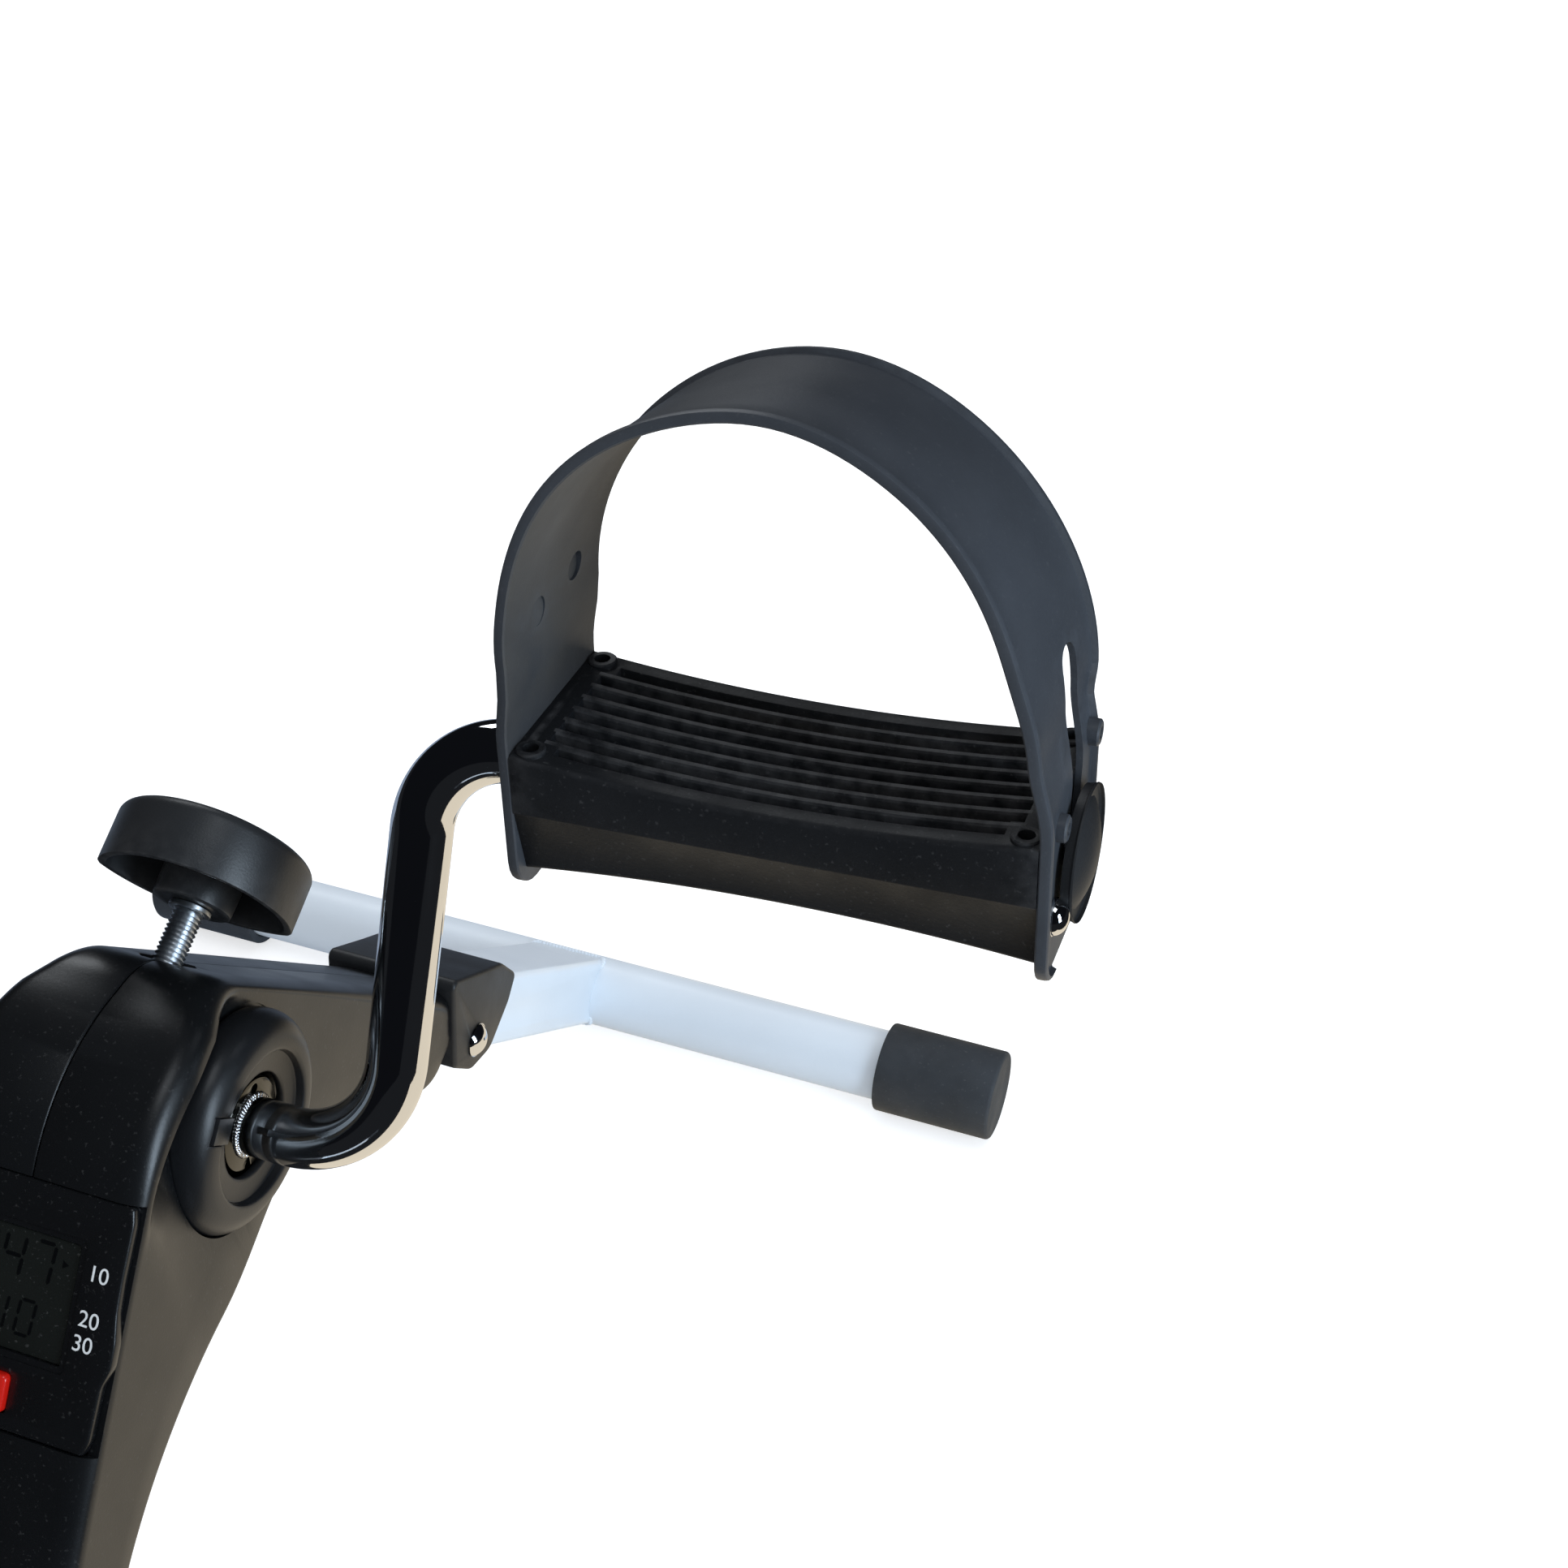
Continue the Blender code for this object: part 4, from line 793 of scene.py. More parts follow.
def makeHousing(side):
    given = housing
    count = round(20 / given["step"])
    rings = []
    for k in range(count + 1):
        station = 20 * k / count
        rings.append(housingSection(station, 0.0) + housingSection(station, bike["wall"])[::-1])
    verts, faces = loft(rings)
    faces = faces[:-2]
    size = len(rings[0])
    for start in (0, (len(rings) - 1) * size):         # both ends, between the outer and the inner line
        for i in range(size // 2 - 1):
            faces.append((start + i, start + i + 1, start + size - 2 - i, start + size - 1 - i))
    word = handWord(side)
    shell = makePiece("housing" + word, flipped((verts, faces), side), finish["housing"], angle=30)
    bosses, bores = [], []
    screwR, headR = given["screwR"], given["headR"]
    for angle, wall, past in given["screws"]:
        y, z = screwPoint(angle)
        bosses.append(rod(given["bossR"], given["seam"], wall + past, y, z, 24))
        bore = [(-1.0, screwR), (14.0, screwR)]
        if side < 0:                                   # the left half takes the heads
            seat = wall - given["headSeat"]
            bore = [(-1.0, screwR), (seat, screwR), (seat, headR), (60.0, headR)]
        bores.append(moved(turned(bore, 32), Matrix.Translation((0, y, z))))
    hub, gap = bike["hubHeight"], bike["gap"]
    bores.append(rod(*given["hubBore"], 0.0, hub, 64))
    deep, far = given["coverSeat"]
    join(shell, bosses, None, side)
    carve(shell, bores, None, side)
    carve(shell, [rod(cover["belly"] + gap, bike["slimHalf"] - deep, far, 0.0, hub, 128)], None, side)
    low, high, floor = console["panelLow"] - gap, console["panelHigh"] + gap, console["thick"] + gap
    corners = [legPoint(low, floor), legPoint(high, floor), legPoint(high, -6.0), legPoint(low, -6.0)]
    carve(shell, [prism(corners, -40, 40)])
    carve(shell, [slab(rounded(given["knobSlot"], 12), -9.0, 9.0)], screwFrame)
    breakEdges(shell, 0.35, 55, 30)
    attach(shell, "frame", "housing_plastic", "housing_" + word.lower())


screwHead = {"profile": ((-1.8, 0.02), (-1.8, 1.6), (-1.5, 2.4), (-0.9, 2.95), (0.0, 3.0), (0.0, 1.5),
                         (30.0, 1.5), (31.0, 0.3)),
             "cross": (1.7, 0.35), "crossFloor": (-0.7, -0.72), "sunk": 2.0}


def makeHousingScrews():
    # pan heads with a cross recess, in the left half's counterbores
    template = makePiece("screwTemplate", turned(screwHead["profile"], 28), finish["zinc"])
    long, slim = screwHead["cross"]
    first, second = screwHead["crossFloor"]
    carve(template, [box((-2.5, -long, -slim), (first, long, slim))])
    carve(template, [box((-2.5, -slim, -long), (second, slim, long))])
    shade(template)
    points = [(-wall + screwHead["sunk"], *screwPoint(angle)) for angle, wall, past in housing["screws"]]
    screws = grow("housingScrews", copyTree("screwRow", template, finish["zinc"]), {}, None, points)
    bpy.data.objects.remove(template)
    attach(screws, "frame", "zinc", *["housing_screw_%d" % (k + 1) for k in range(4)])


# Hub cover: a thick ring with a recess and a small lug

cover = {"foot": 29.2, "belly": 29.7, "bend": 7.4, "lug": (3.3, 17.8, 25.2), "lugTurn": (46, 226),
         "rim": ((0.2, 21.6), (0.1, 20.9), (-0.15, 20.5), (-0.5, 20.35)),      # from the crown
         "well": ((30.0, 19.9), (29.7, 19.4), (29.6, 15.0), (29.4, 14.3), (29.0, 14.0)),
         "inside": ((27.6, 14.0), (28.0, 21.5), (25.2, 26.6)), "innerFoot": 26.8}


def makeHubCover(side):
    word = handWord(side)
    base = bike["slimHalf"] + bike["gap"]
    outside = [(base, cover["foot"] - 0.3), (base + 0.4, cover["foot"]), (base + 2.0, cover["belly"] - 0.1)]
    outside += arcPoints((base + 4.0, cover["belly"] - cover["bend"]), cover["bend"], 0, 78, 14)
    crown = outside[-1][0]
    rim = [(crown + x, radius) for x, radius in cover["rim"]]
    inside = [*cover["well"], *cover["inside"], (base, cover["innerFoot"])]
    ring = turned(outside + rim + inside, 128, True)
    place = Matrix.Translation((0, 0, bike["hubHeight"]))
    piece = makePiece("hubCover" + word, flipped(ring, side), finish["cover"], place, 40)
    half, low, high = cover["lug"]
    turn = Matrix.Rotation(radians(cover["lugTurn"][0 if side > 0 else 1]), 4, "X")
    pocket = box((crown - 1.1, -half - 0.4, 15.0), (crown + 4, half + 0.4, high + 0.4))
    carve(piece, [moved(pocket, turn)], place, side)
    join(piece, [moved(box((crown - 4.0, -half, low), (crown + 0.25, half, high)), turn)], place, side)
    breakEdges(piece, 0.22, 50, 40)
    attach(piece, "frame", "housing_plastic", "hub_cover_" + word.lower())


# Cranks: one bent chrome rod a side, welded to a disc

crankSet = {"plane": 66.9, "throw": 112.0, "lean": radians(25.3), "rodR": 7.7, "cant": radians(3.3),
            "rootBack": 38.1, "rootBend": 28.0, "topBend": 24.0, "journalEnd": 152.0, "stubR": 4.0,
            "stubEnd": 159.2, "sides": 56,
            "disc": ((26.0, 12.45), (28.0, 12.5), (28.35, 12.3), (28.5, 11.9)),
            "notch": ((-2.3, -13.5), (2.3, -13.5), (0.3, -9.0), (-0.3, -9.0)), "pinhole": (1.5, 9.9),
            "weld": (28.6, 8.1), "beadGap": 0.9, "beadR": 0.75}
crankFrame = Matrix.Translation((0, 0, bike["hubHeight"])) @ Matrix.Rotation(-crankSet["lean"], 4, "X")


def sweptRod(path, radii, sides):
    # a round rod along (x, z) points
    rings = []
    for i, (x, z) in enumerate(path):
        back, ahead = path[max(0, i - 1)], path[min(len(path) - 1, i + 1)]
        run = Vector((ahead[0] - back[0], ahead[1] - back[1])).normalized()
        ring = []
        for k in range(sides):
            a = 2 * pi * k / sides
            out = radii[i] * cos(a)
            ring.append((x - run.y * out, radii[i] * sin(a), z + run.x * out))
        rings.append(ring)
    return loft(rings)


def spindlePoint(along):
    # a point (x, z) on the pedal spindle's line
    given = crankSet
    return given["plane"] + along * cos(given["cant"]), given["throw"] + along * sin(given["cant"])


def makeCrank(side):
    given = crankSet
    word = handWord(side)
    journal, stub, rodR, stubR = given["journalEnd"], given["stubEnd"], given["rodR"], given["stubR"]
    knees = [(given["plane"] - given["rootBack"], 0.0, 0), (given["plane"], 0.0, given["rootBend"]),
             (given["plane"], given["throw"], given["topBend"]), (*spindlePoint(200.0), 0)]
    path = rounded(knees, 3, False)[:-1]
    radii = [rodR] * len(path)
    for mark, radius in ((journal - 0.3, rodR), (journal, rodR - 0.3), (journal + 0.05, stubR),
                         (stub - 0.6, stubR), (stub, stubR - 0.6)):
        path.append(spindlePoint(mark))
        radii.append(radius)
    verts, faces = sweptRod(path, radii, given["sides"])
    verts = [(side * x, y, side * z) for x, y, z in verts]
    piece = makePiece("crankRod" + word, (verts, faces), finish["chrome"], crankFrame, 50)
    attach(piece, "crank", "chrome", "crank_" + word.lower())

    disc = flipped(turned(given["disc"], 96), side)
    piece = makePiece("hubDisc" + word, disc, finish["darkSteel"], crankFrame)
    holeR, holeY = given["pinhole"]
    cuts = [rod(holeR, 20.0, 34.0, 0.0, holeY, 32), prism(given["notch"], 20.0, 34.0)]
    carve(piece, cuts, crankFrame, side)
    breakEdges(piece, 0.15, 50, 35)
    attach(piece, "crank", "chrome", "hub_disc_" + word.lower())

    weldX, weldR = given["weld"]
    ring = [(side * weldX, y, z) for y, z in arcPoints((0.0, 0.0), weldR, 0, 360, 48)]
    beads = grow("crankWeld" + word, hubWeld, beadSizes(given, 3 + side), crankFrame, ring)
    attach(beads, "crank", "chrome")


capSet = {"start": 2.8, "domeR": 26.6, "domeBack": 21.6, "domeSweep": 35.0,
          "lip": ((2.9, 15.7), (2.5, 15.8), (2.1, 15.6), (1.8, 15.0), (1.8, 11.6), (1.6, 11.2), (0.0, 10.8),
                  (0.0, 9.6), (3.2, 9.6))}


def makeSpindleCap(side):
    # a shallow dome over the spindle's nut
    word = handWord(side)
    cant = crankSet["cant"]
    turn = Matrix.Rotation(-cant if side > 0 else pi - cant, 4, "Y")
    spot = Matrix.Translation((side * crankSet["plane"], 0, side * crankSet["throw"]))
    start = pedalSet["outer"] + capSet["start"]
    dome = domePoints((start - capSet["domeBack"], 0.0), capSet["domeR"], 90, 90 - capSet["domeSweep"], 16)
    dome += [(start + x, r) for x, r in capSet["lip"]]
    cap = makePiece("spindleCap" + word, turned(dome, 96), finish["spindle"], crankFrame @ spot @ turn, 40)
    attach(cap, "crank", "pedal_plastic", "spindle_cap_" + word.lower())


# Pedals: a slatted tread in a deep frame

pedalSet = {"inner": 32.6, "outer": 153.6, "half": 25.0, "footHalf": 21.0, "pitch": radians(-6.6),
            "slotCount": 8, "slotPitch": 5.3, "slotWidth": 3.1, "slotInset": 5.6, "cornerInset": 8.6,
            "tread": 6.0, "dipTop": 12.0, "riseTop": 4.0, "low": -14.0, "sag": 3.3, "rivet": (-16.5, -6.5),
            "endWall": 3.0, "barrel": (11.2, 21), "boreR": 8.1, "rivetR": 1.9, "post": (3.6, 20.8),
            "postShape": ((4, 3.5), (16.1, 3.5), (16.4, 3.2)),
            "postHole": ((12.5, 1.9), (16.2, 1.9), (20, 2.6)), "slatRound": 0.45, "rivetReach": 2.3,
            "rivetHead": {"Radius": 4.2, "Height": 3.3, "Flange": 4.4, "Lip": 0.35}}


def pedalPlace(side):
    lean, cant = crankSet["lean"], crankSet["cant"]
    arm = Vector((0, sin(lean), cos(lean)))
    along = (Vector((1, 0, 0)) + arm * tan(cant)).normalized()
    level = Vector((0, cos(pedalSet["pitch"]), sin(pedalSet["pitch"])))
    level = (level - along * level.dot(along)).normalized()
    pose = Matrix((along, level, along.cross(level))).transposed().to_4x4()
    spot = Vector((side * crankSet["plane"], 0, bike["hubHeight"])) + arm * crankSet["throw"] * side
    return Matrix.Translation(spot) @ pose


def pedalHeights(x):
    # heights of the tread and of the underside, both curved along the pedal
    given = pedalSet
    share = 2 * (x - given["inner"]) / (given["outer"] - given["inner"]) - 1
    return given["dipTop"] + given["riseTop"] * share ** 2, given["low"] - given["sag"] * share ** 2


def bothSides(x, right):
    return [(x, y, z) for y, z in right] + [(x, -y, z) for y, z in reversed(right)]


def pedalSkin(x, top, low):
    half, foot = pedalSet["half"], pedalSet["footHalf"]
    right = arcPoints((half - 1.3, top - 1.3), 1.3, 0, 90, 4)
    right += [(half, 1.0), (half - 0.12, 0.55), (half - 0.45, 0.2)]        # the crease along the side
    right += [(foot, low + 1.6)] + arcPoints((foot - 1.4, low + 1.4), 1.4, 100, 180, 4)
    return bothSides(x, right)


def pedalHollow(x, top, low):
    half, foot = pedalSet["half"] - 2.4, pedalSet["footHalf"] - 2.2
    return bothSides(x, [(half, top - pedalSet["tread"]), (half, 0.5), (foot, low - 3.0)])


def pedalRings(start, end, section, count=25):
    rings = []
    for i in range(count):
        x = start + (end - start) * i / (count - 1)
        rings.append(section(x, *pedalHeights(x)))
    return rings


def slatSizes():
    given = pedalSet
    inner, outer, pitch, thick = given["inner"], given["outer"], given["slotPitch"], given["tread"]
    length = outer - inner - 2 * given["slotInset"] + 2.0
    endTop = pedalHeights((inner + outer - length) / 2)[0]
    sizes = {"Pitch": pitch, "Width": pitch - given["slotWidth"], "Depth": thick, "Length": length,
             "Round": given["slatRound"], "Middle": given["dipTop"] - thick / 2, "End": endTop - thick / 2}
    return {"Count": given["slotCount"] - 1, **allMetres(sizes)}


def rivetSizes():
    reach = pedalSet["rivetReach"]
    ends = {"Inner": pedalSet["inner"] - reach, "Outer": pedalSet["outer"] + reach}
    return allMetres({**pedalSet["rivetHead"], **ends})


def makePedal(side):
    given = pedalSet
    word = handWord(side)
    body = "pedal_" + word.lower()
    place = pedalPlace(side)
    inner, outer, pitch, end = given["inner"], given["outer"], given["slotPitch"], given["endWall"]
    piece = makePiece("pedalFrame" + word, flipped(loft(pedalRings(inner, outer, pedalSkin)), side),
                      finish["pedal"], place, 30)
    carve(piece, [loft(pedalRings(inner + end, outer - end, pedalHollow))], place, side)
    wide = (given["slotCount"] - 1) / 2 * pitch + given["slotWidth"] / 2
    inset, corner = given["slotInset"], given["cornerInset"]
    tread = box((inner + corner, -wide, 4), (outer - corner, wide, 24))
    longTread = box((inner + inset, pitch - wide, 3.5), (outer - inset, wide - pitch, 24.5))
    barrelR, barrelLong = given["barrel"]
    barrels = [rod(barrelR, start, start + barrelLong, 0.0, -0.5, 40) for start in (inner + 1, outer - 22)]
    posts, sockets = [], []
    postIn, postY = given["post"]
    for x in (inner + postIn, outer - postIn):
        for y in (-postY, postY):
            shift = Matrix.Translation((x, y, 0))
            posts.append(moved(upright(turned(given["postShape"], 28)), shift))
            sockets.append(moved(upright(turned(given["postHole"], 24)), shift))
    y, z = given["rivet"]
    rivetR = given["rivetR"]
    bores = [rod(given["boreR"], inner - 5, outer + 5, 0, 0, 48), rod(rivetR, inner - 5, inner + 6, y, z, 20),
             rod(rivetR, outer - 6, outer + 5, y, z, 20)]
    carve(piece, [tread], place, side)
    carve(piece, [longTread], place, side)
    join(piece, barrels + posts, place, side)
    carve(piece, bores + sockets, place, side)
    breakEdges(piece, 0.3, 48, 35)
    attach(piece, body, "pedal_plastic", "pedal_body_" + word.lower())

    middle = Matrix.Translation((side * (inner + outer) / 2, 0, 0))
    slats = grow("pedalSlats" + word, treadSlats, slatSizes(), place @ middle, None, 40)
    attach(slats, body, "pedal_plastic")

    turn = Matrix.Translation((0, y, z))
    if side < 0:
        turn = turn @ Matrix.Rotation(pi, 4, "Z")
    rivets = grow("rivets" + word, domedRivets, rivetSizes(), place @ turn)
    attach(rivets, body, "chrome", "rivet_inner_" + word.lower(), "rivet_outer_" + word.lower())


# Foot straps: a moulded arch over the pedal

strapSet = {"thick": 1.5, "bead": 2.8, "beadWide": 2.5, "radius": 60.6, "spring": 37.0, "foot": -22.3,
            "tuck": 2.5, "tuckFrom": 18, "flare": 3.5, "flareSpan": (14, 60), "corner": 9.0,
            "footSteps": (0.0, 0.4, 1.2, 2.4, 4.0, 6.3, 9.0), "legSteps": (33.0, 32.0, 31.0, 30.0, 29.0),
            "holes": ((-8.0, 44.0), (11.0, 46.0)), "holeR": 3.5,
            "pegs": ((-13.5, 14.6), (15.3, 21.6)), "archSteps": 72, "crownSoft": 0.3, "innerLean": 0.2,
            "outerLean": 0.9, "boreR": 8.4, "holeFloor": 1.75, "lastStep": 34.5, "narrow": 6.0,
            "slot": ((-4.6, -4.6, 4.5), (4.6, -4.6, 4.5), (11.8, 47.5, 4.6), (2.0, 47.5, 4.6)),
            "peg": ((-1.6, 3.2), (1.2, 3.1), (1.6, 2.6), (1.6, 1.5), (0.9, 1.3), (0.9, 0.02))}


def strapMiddle():
    return (pedalSet["inner"] + pedalSet["outer"]) / 2


def strapStations():
    # the strap's inner face: up the inner leg, over the arch, down the outer leg
    given = strapSet
    middle, radius, tuck, spring = strapMiddle(), given["radius"], given["tuck"], given["spring"]
    tuckFrom, crownSoft = given["tuckFrom"], given["crownSoft"]
    foot = [given["foot"] + step for step in given["footSteps"]] + [3.0 * k for k in range(-3, 11)]
    stations = [(middle - radius + tuck * rise(z, tuckFrom, spring), z, -1.0, 0.0) for z in foot]
    for k in range(given["archSteps"] + 1):
        a = pi * k / given["archSteps"]
        lean = given["innerLean"] if a < pi / 2 else given["outerLean"]
        soft = (hypot(cos(a), crownSoft) - crownSoft) / (hypot(1.0, crownSoft) - crownSoft)
        reach = radius - tuck * soft * (1 + 2 * lean * sin(a))
        stations.append((middle - reach * cos(a), spring + reach * sin(a), -cos(a), sin(a)))
    for z in [given["lastStep"], *given["legSteps"]] + [z for z in reversed(foot) if z < 28.0]:
        stations.append((middle + radius - tuck * rise(z, tuckFrom, spring), z, 1.0, 0.0))
    return stations


def strapProfile(near, far):
    # (y, height) round the section, with a rounded bead along both edges
    thick, bead, wide = strapSet["thick"], strapSet["bead"], strapSet["beadWide"]
    points = [(-near + 0.35, 0.0), (-near, 0.4), (-near, bead - 0.9)]
    points += [(-near + 0.25, bead - 0.25), (-near + 0.9, bead), (-near + wide - 0.5, bead)]
    points += [(-near + wide + 0.15, thick + 0.2), (-near + wide + 0.6, thick)]
    points += [(share * (near if share < 0 else far), thick) for share in (-0.6, -0.3, 0.0, 0.3, 0.6)]
    points += [(far - wide - 0.6, thick), (far - wide - 0.15, thick + 0.2)]
    points += [(far - wide + 0.5, bead), (far - 0.9, bead), (far - 0.25, bead - 0.25)]
    points += [(far, bead - 0.9), (far, 0.4), (far - 0.35, 0.0)]
    return points + [(share * (near if share < 0 else far), 0.0) for share in (0.6, 0.3, 0.0, -0.3, -0.6)]


def makeStrap(side):
    given = strapSet
    word = handWord(side)
    place = pedalPlace(side)
    half, middle = pedalSet["half"], strapMiddle()
    rings = []
    for x, z, outX, outZ in strapStations():
        rising = z - given["foot"]
        nip = given["corner"] - sqrt(given["corner"] ** 2 - max(0.0, given["corner"] - rising) ** 2)
        near = far = half - nip
        if outX > 0.99 and z < given["lastStep"]:      # the far edge steps in beside the slot
            far = min(near, half - given["narrow"] * rise(given["lastStep"] - z, 0, 5))
        sway = 0.6 - 1.2 * rise(outX, -0.1, 0.95) + 1.2 * rise(outZ, 0.2, 0.9)       # changes edge on the way
        flare = given["flare"] * rise(z, *given["flareSpan"]) * sway
        ring = []
        for y, height in strapProfile(near, far):
            push = height + flare * (0.5 - y / (2 * half))
            ring.append((x + outX * push, y, z + outZ * push))
        rings.append(ring)
    band = makePiece("footStrap" + word, flipped(loft(rings), side), finish["strap"], place, 40)
    inner, outer = pedalSet["inner"] - 8, pedalSet["outer"] + 8
    y, z = pedalSet["rivet"]
    rivetR = pedalSet["rivetR"]
    floorX = middle - given["radius"] + given["holeFloor"]
    holes = [rod(given["boreR"], inner, middle - 50, 0, 0, 48), rod(rivetR, inner, middle - 50, y, z, 20)]
    holes += [rod(given["holeR"], floorX, middle - 50, a, b, 40) for a, b in given["holes"]]
    holes += [rod(rivetR, middle + 50, outer, y, z, 20),
              prism(rounded(given["slot"], 10), middle + 50, outer + 4)]
    carve(band, holes, place, side)
    face = pedalSet["outer"] + 2.2
    peg = turned([(face + x, r) for x, r in given["peg"]], 32)
    join(band, [moved(peg, Matrix.Translation((0, a, b))) for a, b in given["pegs"]], place, side)
    breakEdges(band, 0.25, 60, 24)
    addFilm(band, place, side)
    attach(band, "pedal_" + word.lower(), "strap_plastic", "strap_" + word.lower())


filmSet = {"inward": (0.2, 0.8), "legSide": (10, 40), "height": (2, 34), "least": 0.35, "more": 0.65}


def addFilm(band, place, side):
    # how dull each corner is: the inner face of the inner leg most of all
    film = band.data.attributes.new("film", "FLOAT", "CORNER")
    back = place.inverted()
    centre = Vector((side * strapMiddle(), 0, strapSet["spring"] - 10))
    for face in band.data.polygons:
        out = back @ (face.center / mm) - centre
        out.y = 0.0
        inward = rise(-(back.to_3x3() @ face.normal).dot(out.normalized()), *filmSet["inward"])
        for corner in face.loop_indices:
            spot = back @ (band.data.vertices[band.data.loops[corner].vertex_index].co / mm)
            legSide = rise(-(spot.x - centre.x) * side, *filmSet["legSide"])
            share = filmSet["least"] + filmSet["more"] * legSide
            film.data[corner].value = inward * share * rise(spot.z, *filmSet["height"])


# Tension knob and its screw

knobSet = {"half": 26.2, "deep": 31.6, "shallow": 14.1, "mouth": 23.6, "roof": 40.5, "turn": radians(27.0),
           "wall": 2.2, "edge": 3.0, "screwR": 4.0, "tip": -14.3, "nearShare": 0.6, "farShare": 0.97,
           "insideRoof": 4.6, "insideEdge": 2.0, "threadPitch": 1.25, "threadLow": -3.0, "threadHigh": 22.5,
           "ridge": 0.55,
           "boss": ((-2.1, 8.2), (-2.1, 9.9), (-1.7, 10.4), (-1.0, 10.5)), "bossRoot": (-3.2, 10.9),
           "collar": ((-3.6, 5.2), (-3.4, 5.6), (-2.4, 5.6), (-2.2, 5.2), (-2.2, 4.1), (-3.6, 4.1))}


def knobOutline(inset, steps=96):
    # half-moon plan: a deep arc near, a shallow one far, with rounded corners
    half, deep, shallow = knobSet["half"] - inset, knobSet["deep"] - inset, knobSet["shallow"] - inset
    points = []
    near = round(steps * knobSet["nearShare"])
    for k in range(1, near):
        a = pi * k / near
        points.append((half * cos(a), -deep * sin(a)))
    radius = (half ** 2 + shallow ** 2) / (2 * shallow)
    reach = atan2(half, radius - shallow) * knobSet["farShare"]
    far = steps - near
    for k in range(far + 1):
        a = reach * (1 - 2 * k / far)
        points.append((-radius * sin(a), radius * cos(a) - (radius - shallow)))
    turn = Matrix.Rotation(knobSet["turn"], 2)
    return [tuple(turn @ Vector(point)) for point in points]


def knobRing(inset, height):
    return flatRing(knobOutline(inset), height)


def roofRings(inset, base, radius, steps):
    # a quarter round from the wall to the roof
    angles = [radians(90 * k / steps) for k in range(steps + 1)]
    return [knobRing(inset + radius * (1 - cos(a)), base + radius * sin(a)) for a in angles]


def knobShell(outside, inside, roofRow):
    # outer skin up to its roof, inner skin up to its own roof, joined round the mouth
    rings = outside + inside
    count, last = len(rings[0]), len(rings) - 1
    steps = [(row, row + 1) for row in range(roofRow) if row != len(outside) - 1]
    steps += [(len(outside), roofRow + 1), (roofRow + 1, last), (last, 0)]
    faces = []
    for a, b in steps:
        for i in range(count):
            j = (i + 1) % count
            faces.append((a * count + i, a * count + j, b * count + j, b * count + i))
    for row in (len(outside) - 1, roofRow):
        faces.append(tuple(row * count + i for i in range(count)))
    return [point for ring in rings for point in ring], faces


def makeKnob():
    given = knobSet
    mouth, roof, edge, wall, soft = (given[word] for word in ("mouth", "roof", "edge", "wall", "insideEdge"))
    outside = [knobRing(0.35, mouth), knobRing(0.1, mouth + 0.15), knobRing(0.0, mouth + 0.5)]
    outside += roofRings(0.0, roof - edge, edge, 8)
    inside = roofRings(wall, roof - given["insideRoof"], soft, 5)
    roofRow = len(outside) + len(inside) - 1
    inside += [knobRing(wall, mouth + 0.4), knobRing(wall - 0.25, mouth + 0.1)]
    knob = makePiece("tensionKnob", knobShell(outside, inside, roofRow), finish["knob"], screwFrame, 40)
    rootX, rootR = given["bossRoot"]
    boss = [(mouth + x, radius) for x, radius in given["boss"]] + [(roof + rootX, rootR)]
    bore = [(10.0, given["screwR"] + bike["gap"]), (roof - 4.0, given["screwR"] + bike["gap"])]
    join(knob, [upright(turned(boss, 72))], screwFrame)
    carve(knob, [upright(turned(bore, 48))], screwFrame)
    breakEdges(knob, 0.25, 50, 40)
    attach(knob, "knob", "housing_plastic", "tension_knob")


def makeScrew():
    given = knobSet
    head, tip = given["roof"] - 4.3, given["tip"]
    core = given["screwR"] - given["ridge"] * 0.9
    profile = [(tip, 2.3), (tip + 0.4, 2.75), (tip + 3.3, 2.8), (tip + 4.2, core), (head - 0.5, core),
               (head, core - 0.5)]
    shank = makePiece("tensionScrew", upright(turned(profile, 48)), finish["zinc"], screwFrame)
    attach(shank, "knob", "zinc", "tension_screw")
    height = given["threadHigh"] - given["threadLow"]
    sizes = {"Turns": height / given["threadPitch"], "Height": height * mm, "Radius": (core + 0.02) * mm,
             "Ridge": given["ridge"] * mm}
    lift = Matrix.Translation((0, 0, given["threadLow"]))
    thread = grow("screwThread", threadTree(sizes), sizes, screwFrame @ lift, None, 20)
    attach(thread, "knob", "zinc")
    collar = [(given["mouth"] + x, radius) for x, radius in given["collar"]]
    ring = makePiece("screwCollar", upright(turned(collar, 48, True)), finish["zinc"], screwFrame)
    attach(ring, "knob", "zinc")


# Stands and the saddles that they fold in; end is 1 at the rear and -1 at the front

standSet = {"tubeY": 232.0, "tubeZ": 16.0, "tubeR": 12.7, "tubeWall": 1.5, "capR": 16.0, "capIn": 125.4,
            "capOut": 168.0, "liningR": 13.0, "capFloor": 4.0, "slope": radians(39.6), "stemHalf": 15.0,
            "stemThick": 24.5, "stemWall": 1.8, "cornerR": 2.5, "boltR": 3.0, "cheekOut": 22.0,
            "cheekIn": 15.5, "beadGap": 1.3, "beadR": 1.0,
            "capEnd": 1.3, "capLip": 0.7, "lipR": 13.4}                        # rounds of the caps


def pivotPlace(end):
    return Matrix.Translation((0, end * bike["pivotY"], bike["pivotZ"]))


def stemPoint(along, above):
    slope = standSet["slope"]
    return -along * cos(slope) + above * sin(slope), along * sin(slope) + above * cos(slope)


def barOutline(half, low, high, radius):
    # a rounded rectangle of tube
    corners = [(half, low), (half, high), (-half, high), (-half, low)]
    return rounded([(x, above, radius) for x, above in corners], 15)


